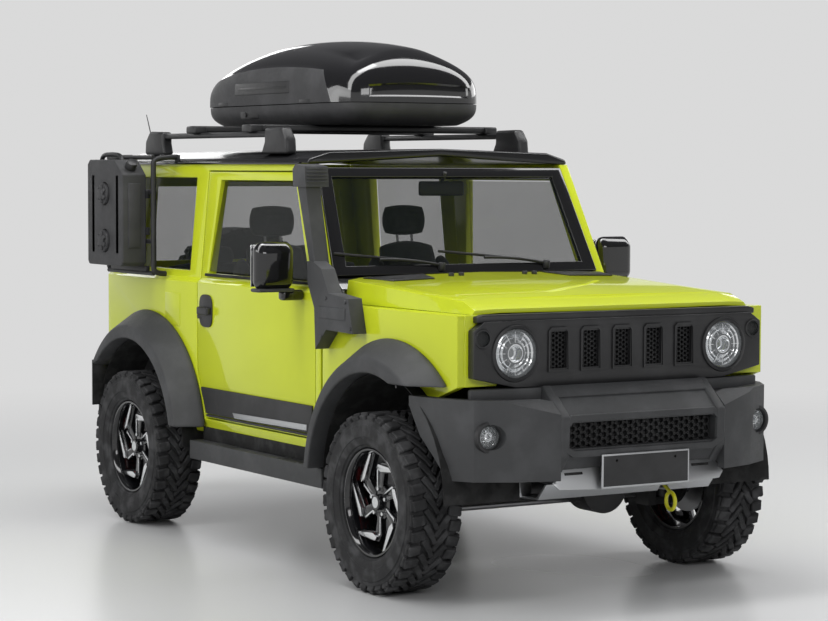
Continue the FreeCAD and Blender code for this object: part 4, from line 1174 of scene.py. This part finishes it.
class OFFROAD_OT_roof_gear(Builder, bpy.types.Operator):
    """Rails, crossbars, roof box and aerial"""
    bl_idname = "offroad.roof_gear"
    bl_label = "Roof gear"

    def make(self):
        rails = softened("roof_rails", 0.010, 4)
        feet = (((-0.052, 1.7335), (0.19, 1.7335), (0.155, 1.790), (0.155, 1.848),
                 (-0.005, 1.850), (-0.045, 1.800)),
                ((1.385, 1.7335), (1.17, 1.7335), (1.19, 1.790), (1.19, 1.842),
                 (1.335, 1.846), (1.378, 1.800)))
        for _, side in SIDES:
            for foot in feet:
                add_plate(rails, "x", foot, *span(side, 0.578, 0.634), 0.014, 4)
        piece("rail_bars", rails, "car_body", "trim", 40,
              replaces=("roof_rails",))
        bars = softened("roof_crossbars", 0.010, 4)
        low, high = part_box("roof_crossbars")
        for y in (0.29, 0.85):
            for _, side in SIDES:
                add_block(bars, *corners(side, 0.585, 0.652, (y - 0.045, low[2] - 0.004),
                                         (y + 0.045, high[2] - 0.001)), 0.008, 3)
        piece("crossbar_set", bars, "car_body", "trim", 40,
              replaces=("roof_crossbars",))
        low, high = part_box("roof_box_tray")
        piece("box_tray_shell", box_half(low, (high[0], high[1], high[2] - 0.0015), False),
              "car_body", "box_side", 50, replaces=("roof_box_tray",))
        low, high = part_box("roof_box_lid")
        piece("box_lid_shell", box_half((low[0], low[1], low[2] + 0.0015), high, True),
              "roof_box_lid", ("black", "box_side"), 40, replaces=("roof_box_lid",))
        bm = bmesh.new()
        for y in (0.20, 1.00):
            add_block(bm, (low[0], y, low[2] + 0.002),
                      (low[0] + 0.012, y + 0.10, low[2] + 0.020), 0.003)
        place = (Matrix.Translation((low[0] + 0.004, 0.66, low[2] + 0.078))
                 @ Matrix.Rotation(math.radians(3), 4, "Y"))
        add_block(bm, (-0.004, -0.27, -0.030), (0.010, 0.27, 0.030), 0.010, 4, place=place)
        add_block(bm, (-0.0055, -0.235, -0.006), (0.0, 0.235, 0.006), 0.002, 2, place=place)
        piece("box_handle_trim", bm, "roof_box_lid", "trim")
        bm = bmesh.new()
        lean = (Matrix.Translation((low[0] + 0.0145, 0.80, low[2] - 0.040))
                @ Matrix.Rotation(math.radians(-6), 4, "Y"))
        add_block(bm, (-0.008, -0.085, -0.020), (0.006, 0.085, 0.020), 0.006, 3, place=lean)
        add_rod(bm, lean @ Vector((-0.014, 0.03, 0)), lean @ Vector((0.0, 0.03, 0)), 0.012, 24)
        piece("box_lock", bm, "car_body", "trim")
        bm = bmesh.new()
        joint = (-0.55, 1.455, 1.765)
        add_rod(bm, (-0.55, 1.45, 1.738), joint, 0.022, end_radius=0.014, round_by=0.003)
        add_rod(bm, joint, (-0.55, 1.54, 1.93), 0.0038, 10, end_radius=0.002)
        piece("aerial", bm, "car_body", "trim")


class OFFROAD_OT_cabin(Builder, bpy.types.Operator):
    """Seats, dashboard, console, gear lever and steering wheel"""
    bl_idname = "offroad.cabin"
    bl_label = "Cabin"

    def make(self):
        bm, base = bmesh.new(), bmesh.new()
        lean = Matrix.Translation((0, 0.452, 0.81)) @ Matrix.Rotation(math.radians(-15.5), 4, "X")
        for _, side in SIDES:
            add_pad(bm, *corners(side, 0.205, 0.505, (-0.055, 0.715), (0.41, 0.845)), 0.35,
                    panel=(0, 0, 1))
            add_pad(bm, *corners(side, 0.205, 0.505, (-0.050, 0.02), (0.045, 0.535)), 0.35, lean,
                    FORWARD)
            for near in (0.135, 0.495):
                add_pad(bm, *corners(side, near, near + 0.08, (-0.05, 0.735), (0.40, 0.85)), 0.6)
                add_pad(bm, *corners(side, near, near + 0.08, (-0.060, 0.02), (0.045, 0.46)), 0.6,
                        lean)
            add_pad(bm, *corners(side, 0.245, 0.465, (0.562, 1.355), (0.648, 1.498)), 0.5,
                    panel=FORWARD)
            add_block(base, *corners(side, 0.165, 0.545, (0.01, 0.616), (0.38, 0.735)), 0.02, 3)
            for x in (0.315, 0.395):
                add_rod(base, (x * side, 0.588, 1.30), (x * side, 0.605, 1.40), 0.006, 16, 1)
        piece("front_seat_pads", bm, "car_body", "cloth", 60,
                        replaces=("front_seats",))
        bm = bmesh.new()
        lean = Matrix.Translation((0, 1.292, 0.80)) @ Matrix.Rotation(math.radians(-10.5), 4, "X")
        for _, side in SIDES:
            add_pad(bm, *corners(side, 0.006, 0.538, (0.905, 0.70), (1.275, 0.838)), 0.35,
                    panel=(0, 0, 1))
            add_pad(bm, *corners(side, 0.006, 0.538, (-0.045, 0.01), (0.045, 0.42)), 0.35, lean,
                    FORWARD)
            add_pad(bm, *corners(side, 0.16, 0.38, (-0.025, 0.40), (0.045, 0.497)), 0.5, lean)
        add_block(base, (-0.52, 0.93, 0.616), (0.52, 1.26, 0.715), 0.015, 2)
        piece("rear_seat_pads", bm, "car_body", "cloth", 60,
                        replaces=("rear_seat",))
        piece("seat_bases", base, "car_body", ("cabin", "steel"))
        bm = softened("dashboard", 0.014, 3)
        add_block(bm, (0.235, -0.36, 1.10), (0.495, -0.285, 1.185), 0.02, 3)
        add_block(bm, (-0.12, -0.295, 0.93), (0.12, -0.28, 1.10), 0.008, 3)
        for x in (-0.54, -0.18, 0.18, 0.55):
            add_rod(bm, (x, -0.297, 1.09), (x, -0.283, 1.09), 0.035, 32, round_by=0.004)
        add_block(bm, (-0.55, -0.297, 0.955), (-0.2, -0.286, 1.02), 0.006, 2)
        piece("dashboard_moulding", bm, "car_body", "cabin",
              replaces=("dashboard",))
        bm = bmesh.new()
        add_rod(bm, (0.02, -0.24, 0.66), (0.02, -0.16, 0.90), 0.010, 16)
        add_rod(bm, (0.02, -0.163, 0.89), (0.02, -0.150, 0.93), 0.023, 24, round_by=0.008)
        add_block(bm, (-0.07, -0.30, 0.614), (0.10, 0.30, 0.70), 0.02, 3)
        add_tube(bm, [(0.06, 0.20, 0.70), (0.06, 0.1, 0.76), (0.06, 0.02, 0.80)], 0.014)
        piece("gear_lever_and_console", bm, "car_body", "cabin")
        place = (Matrix.Translation((0.365, -0.196, 1.028))
                 @ Matrix.Rotation(math.radians(-65), 4, "X"))
        bm = bmesh.new()
        ring = [polar(0.0145, degrees) for degrees in range(0, 360, 30)]
        add_spun(bm, [(z, 0.182 + out) for out, z in ring], (0, 0, 0), (0, 0, 1), 64)
        add_rod(bm, (0, 0, -0.029), (0, 0, 0.009), 0.049, 40, round_by=0.010)
        for angle in (0, 180, 270):
            turn = Matrix.Rotation(math.radians(angle), 4, "Z")
            add_block(bm, (0.03, -0.018, -0.012), (0.176, 0.018, 0.0), 0.005, 3, place=turn)
        bmesh.ops.transform(bm, matrix=place, verts=bm.verts)
        piece("steering_wheel_rim", bm, "steering_wheel", "cabin",
              replaces=("steering_wheel",))


class OFFROAD_OT_rear(Builder, bpy.types.Operator):
    """Tailgate handle, hinges, high lamp and spare carrier"""
    bl_idname = "offroad.rear"
    bl_label = "Tailgate fittings"

    def make(self):
        face = 1.602
        bm = bmesh.new()
        add_block(bm, (0.44, face - 0.002, 0.94), (0.55, face + 0.006, 1.03), 0.008, 3)
        add_block(bm, (0.455, face + 0.004, 0.972), (0.535, face + 0.022, 1.0), 0.006, 3)
        for z in (0.82, 1.10):
            add_block(bm, (-0.588, face - 0.004, z), (-0.50, face + 0.007, z + 0.045), 0.004, 2)
        add_block(bm, (-0.09, face - 0.002, 1.600), (0.09, face + 0.008, 1.622), 0.006, 3)
        piece("tailgate_fittings", bm, "tailgate", "trim")
        bm = bmesh.new()
        centre = middle("spare_rim")
        add_rod(bm, (centre.x, face, centre.z), (centre.x, centre.y + 0.02, centre.z), 0.058, 32)
        piece("spare_carrier", bm, "tailgate", "chassis")


class OFFROAD_OT_underside(Builder, bpy.types.Operator):
    """Springs, dampers, shafts, exhaust, arch liners and mud flaps"""
    bl_idname = "offroad.underside"
    bl_label = "Underside"

    def liner(self, bm, y, inner, outer):
        """A thin half drum with an inner wall, above a wheel."""
        radius, steps = ARCH_RADIUS - 0.0075, 28
        shell = bmesh.new()
        edge = shell.edges.new([shell.verts.new((x, y - radius, ARCH_CENTRE))
                                for x in (inner, outer)])
        bmesh.ops.spin(shell, geom=list(edge.verts) + [edge], cent=(0, y, ARCH_CENTRE),
                       axis=(1, 0, 0), angle=-math.pi, steps=steps)
        bmesh.ops.solidify(shell, geom=shell.faces[:], thickness=0.003)
        joined(bm, shell)
        arc = [polar(radius, 180 * step / steps) for step in range(steps + 1)]
        wall = [(y + across, ARCH_CENTRE + max(up, 0.20)) for across, up in arc if up > 0.19]
        add_plate(bm, "x", wall, *sorted((inner, inner + math.copysign(0.004, outer))))

    def engine(self):
        """Engine with its head, ribbed cover, air box, pulleys, hoses and radiator."""
        low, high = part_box("engine_block")
        bm = bmesh.new()
        add_block(bm, (low[0], -1.12, low[2]), (high[0], -1.06, low[2] + 0.04), 0.006)
        add_block(bm, (-0.17, -1.14, low[2] + 0.01), (0.17, -0.72, 0.90), 0.03, 3)
        add_block(bm, (-0.13, -1.13, 0.88), (0.13, -0.74, 0.985), 0.015, 3, 1)
        add_block(bm, (-0.15, -1.15, 0.975), (0.12, -0.74, 1.028), 0.020, 4, 2)
        for x in (-0.11, -0.06, -0.01, 0.04):
            add_block(bm, (x, -1.12, 1.020), (x + 0.018, -0.77, 1.036), 0.004, 2, 2)
        add_rod(bm, (0.085, -0.85, 1.02), (0.085, -0.85, 1.039), 0.026, 32, 2, round_by=0.004)
        add_block(bm, (0.13, -1.02, 0.93), (0.23, -0.76, 1.035), 0.018, 4, 2)
        for x, z, radius in ((0.0, 0.74, 0.080), (-0.11, 0.90, 0.045), (0.12, 0.86, 0.050)):
            add_rod(bm, (x, -1.165, z), (x, -1.135, z), radius, 48, 1, round_by=0.005)
        add_block(bm, (-0.23, -1.44, 0.66), (0.23, -1.40, 0.98), 0.006, 2, 1)
        add_block(bm, (-0.23, -1.438, 0.97), (0.23, -1.395, 1.02), 0.014, 3, 2)
        for start, end in (((-0.12, -1.40, 1.0), (-0.12, -1.13, 0.93)),
                           ((0.15, -1.41, 0.70), (0.10, -1.13, 0.80))):
            bend = (start[1] + end[1]) / 2
            add_tube(bm, [start, (start[0], bend, start[2]), (end[0], bend, end[2]), end], 0.022,
                     3, sides=4)
        add_tube(bm, [(0.18, -1.01, 1.0), (0.18, -1.15, 1.0), (0.19, -1.30, 0.99),
                      (0.20, -1.40, 0.93)], 0.028, 3, sides=4)
        piece("engine", bm, "car_body", ("chassis", "silver", "trim", "seal"),
              replaces=("engine_block",))

    def make(self):
        low, high = (corner[2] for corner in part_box("coil_springs"))
        springs = bmesh.new()
        steps, per_turn = 40, 10
        for x in (-0.4, 0.4):
            for y in (FRONT_AXLE, REAR_AXLE):
                around = [polar(0.029, 360 * step / per_turn) for step in range(steps + 1)]
                add_tube(springs, [(x + across, y + along,
                                    low + 0.006 + (high - low - 0.012) * step / steps)
                                   for step, (across, along) in enumerate(around)], 0.005, sides=2)
                add_rod(springs, (x, y, low), (x, y, high), 0.017, 16)
        piece("coils_and_dampers", springs, "car_body", "chassis",
              replaces=("coil_springs",))
        self.engine()
        bm = bmesh.new()
        add_rod(bm, (0.10, -0.30, 0.50), (0.15, 1.00, 0.37), 0.030, 24)
        add_rod(bm, (0.0, -0.72, 0.50), (0.22, -1.02, 0.37), 0.024, 24)
        piece("drive_shafts", bm, "car_body", "chassis")
        bm = bmesh.new()
        add_tube(bm, [(-0.16, -0.72, 0.50), (-0.20, -0.45, 0.47), (-0.22, -0.1, 0.46),
                      (-0.22, 0.36, 0.46)], 0.024, sides=4)
        add_rod(bm, (-0.22, 0.34, 0.46), (-0.22, 0.80, 0.46), 0.075, 32, round_by=0.012)
        add_tube(bm, [(-0.22, 0.78, 0.46), (-0.24, 0.95, 0.52), (-0.26, 1.125, 0.56),
                      (-0.28, 1.3, 0.50), (-0.30, 1.62, 0.47)], 0.022, sides=4)
        piece("exhaust", bm, "car_body", "steel")
        bm = bmesh.new()
        for _, side in SIDES:
            for y, inner in ((FRONT_AXLE, 0.445), (REAR_AXLE, 0.562)):
                self.liner(bm, y, inner * side, 0.790 * side)
            left, right = span(side, 0.63, 0.84)
            add_plate(bm, "y", [(left, 0.52), (right, 0.52), (right, 0.74), (left, 0.74)],
                      1.548, 1.556, 0.002)
            # A near-black strip between each slider and the sill: painted shade that fills the gap
            # under the body.
            add_block(bm, *corners(side, 0.700, 0.728, (-0.62, 0.437), (0.57, 0.500)), 0.005)
        piece("arch_liners_and_flaps", bm, "car_body", "seal")


# ------------------------------------------------------------------ studio
def floor_material():
    """Pale studio floor that keeps the car's shadow and shines a little."""
    made = Shader("studio_floor", (0.60, 0.60, 0.60), 0.32, Specular_IOR_Level=0.35)
    made.put("Roughness", made.noise(0.4, 1.0) * 0.02 + 0.26)
    reach = (made.axis("X") ** 2 + made.axis("Y") ** 2) ** 0.5
    pale_beyond(made, reach.above(5.2, 3.0))
    return made.material


def pale_beyond(made, mask):
    """Shows the studio's even pale colour where the mask is 1."""
    tree = made.tree
    glow = tree.nodes.new("ShaderNodeEmission")
    glow.inputs["Color"].default_value = (0.70, 0.70, 0.70, 1)
    path = tree.nodes.new("ShaderNodeLightPath")
    camera, glossy, through = (Wire(made, path.outputs[name]) for name in
                               ("Is Camera Ray", "Is Glossy Ray", "Is Transmission Ray"))
    mix = tree.nodes.new("ShaderNodeMixShader")
    tree.links.new(((camera + glossy + through) * mask).socket, mix.inputs[0])
    tree.links.new(made.bsdf.outputs[0], mix.inputs[1])
    tree.links.new(glow.outputs[0], mix.inputs[2])
    tree.links.new(mix.outputs[0], tree.nodes["Material Output"].inputs["Surface"])


def backdrop_material():
    """A wall that looks evenly pale and lights nothing by itself."""
    made = Shader("studio_wall", (0.6, 0.6, 0.6), 1.0)
    pale_beyond(made, 1.0)
    return made.material


def studio_world():
    """An even pale surround whose upper part stays dark in reflections."""
    world = bpy.data.worlds.new("studio")
    world.use_nodes = True
    tree = world.node_tree
    plain = tree.nodes["Background"]
    plain.inputs[0].default_value = (0.96, 0.98, 1.0, 1)
    plain.inputs[1].default_value = 0.50
    seen, dim = (tree.nodes.new("ShaderNodeBackground") for _ in range(2))
    seen.inputs[0].default_value = (0.70, 0.70, 0.70, 1)
    dim.inputs[0].default_value = (0.13, 0.13, 0.135, 1)
    path = tree.nodes.new("ShaderNodeLightPath")
    first, second = (tree.nodes.new("ShaderNodeMixShader") for _ in range(2))
    for mix, ray, below, above in ((first, "Is Glossy Ray", plain, dim),
                                   (second, "Is Camera Ray", first, seen)):
        tree.links.new(path.outputs[ray], mix.inputs[0])
        tree.links.new(below.outputs[0], mix.inputs[1])
        tree.links.new(above.outputs[0], mix.inputs[2])
    tree.links.new(second.outputs[0], tree.nodes["World Output"].inputs["Surface"])
    return world


class OFFROAD_OT_stage(Builder, bpy.types.Operator):
    """Floor, backdrop, lights and camera"""
    bl_idname = "offroad.stage"
    bl_label = "Studio"

    def area_light(self, name, place, target, size, power):
        """A soft box that looks at a point."""
        lamp = bpy.data.lights.new(name, "AREA")
        lamp.shape = "RECTANGLE"
        lamp.size, lamp.size_y = size
        lamp.energy = power
        holder = bpy.data.objects.new(name, lamp)
        place, target = Vector(place), Vector(target)
        turn = (target - place).to_track_quat("-Z", "Y").to_matrix().to_4x4()
        holder.matrix_world = Matrix.Translation(place) @ turn
        bpy.context.scene.collection.objects.link(holder)

    def make(self):
        scene = bpy.context.scene
        studio = scene.offroad_studio
        ground = CAD_BOX[0][2]
        bm = bmesh.new()
        bmesh.ops.create_grid(bm, x_segments=2, y_segments=2, size=30,
                              matrix=Matrix.Translation((0, 0, ground - 0.0005)))
        self.stage_piece("studio_floor", bm, floor_material())
        bm = bmesh.new()
        bmesh.ops.create_cone(bm, cap_ends=False, segments=96, radius1=29, radius2=29, depth=7.2,
                              matrix=Matrix.Translation((0, 0, ground + 3.5)))
        bmesh.ops.reverse_faces(bm, faces=bm.faces)
        self.stage_piece("studio_wall", bm, backdrop_material())

        scene.world = studio_world()
        for name, x in (("right_top_strip", -2.3), ("left_top_strip", 2.1)):
            self.area_light(name, (x, -0.4, 4.8), (x * 0.25, 0, 0.8), (1.1, 7.0), 135)
        self.area_light("front_softbox", (-1.5, -7.5, 3.6), (0, -0.6, 0.8), (4.5, 1.6), 110)
        self.area_light("side_softbox", (-7.2, 0.6, 3.2), (0, 0, 0.9), (5.5, 1.6), 100)
        self.area_light("far_softbox", (6.5, 1.5, 3.2), (0, 0, 0.9), (5.0, 1.6), 70)
        self.area_light("back_softbox", (0.5, 7.4, 3.4), (0, 0, 0.9), (5.0, 1.6), 70)

        eye = bpy.data.cameras.new("camera")
        eye.lens = studio.lens
        eye.sensor_width = 36
        eye.clip_end = 200
        holder = bpy.data.objects.new("camera", eye)
        turn = (Matrix.Rotation(-studio.heading, 4, "Z")
                @ Matrix.Rotation(math.pi / 2 + studio.pitch, 4, "X")
                @ Matrix.Rotation(studio.roll, 4, "Z"))
        holder.matrix_world = Matrix.Translation(studio.camera_place) @ turn
        scene.collection.objects.link(holder)
        scene.camera = holder
        scene.view_settings.view_transform = "Standard"

    def stage_piece(self, name, bm, material):
        """A floor or wall, which isn't part of the car."""
        mesh = bpy.data.meshes.new(name)
        bm.to_mesh(mesh)
        bm.free()
        mesh.materials.append(material)
        made = bpy.data.objects.new(name, mesh)
        bpy.context.scene.collection.objects.link(made)


class OFFROAD_PT_panel(bpy.types.Panel):
    """Lists the car's sizes and the steps that make it"""
    bl_idname = "OFFROAD_PT_panel"
    bl_label = "Off-road car"
    bl_space_type = "VIEW_3D"
    bl_region_type = "UI"
    bl_category = "Off-road car"

    def draw(self, context):
        for group in (getattr(context.scene, name) for name in GROUPS):
            box = self.layout.box()
            for name in group.bl_rna.properties.keys():
                if name not in ("rna_type", "name"):
                    box.prop(group, name)
        for step in STEPS:
            self.layout.operator(step.bl_idname)


STEPS = (OFFROAD_OT_finishes, OFFROAD_OT_panels, OFFROAD_OT_side_trim, OFFROAD_OT_glass,
         OFFROAD_OT_wheels, OFFROAD_OT_nose, OFFROAD_OT_bumpers, OFFROAD_OT_outfit,
         OFFROAD_OT_roof_gear, OFFROAD_OT_cabin, OFFROAD_OT_rear, OFFROAD_OT_underside,
         OFFROAD_OT_stage)
GROUPS = {"offroad_look": LookSettings, "offroad_wheel": WheelSettings,
          "offroad_studio": StudioSettings}
CLASSES = (*GROUPS.values(), *STEPS, OFFROAD_PT_panel)


def register():
    for cls in CLASSES:
        bpy.utils.register_class(cls)
    for name, group in GROUPS.items():
        setattr(bpy.types.Scene, name, bpy.props.PointerProperty(type=group))


def unregister():
    for name in GROUPS:
        delattr(bpy.types.Scene, name)
    for cls in reversed(CLASSES):
        bpy.utils.unregister_class(cls)


def main():
    register()
    bpy.ops.offroad.finishes()
    bpy.ops.offroad.panels()
    bpy.ops.offroad.side_trim()
    bpy.ops.offroad.glass()
    bpy.ops.offroad.wheels()
    bpy.ops.offroad.nose()
    bpy.ops.offroad.bumpers()
    bpy.ops.offroad.outfit()
    bpy.ops.offroad.roof_gear()
    bpy.ops.offroad.cabin()
    bpy.ops.offroad.rear()
    bpy.ops.offroad.underside()
    bpy.ops.offroad.stage()


if __name__ == "__main__":
    main()
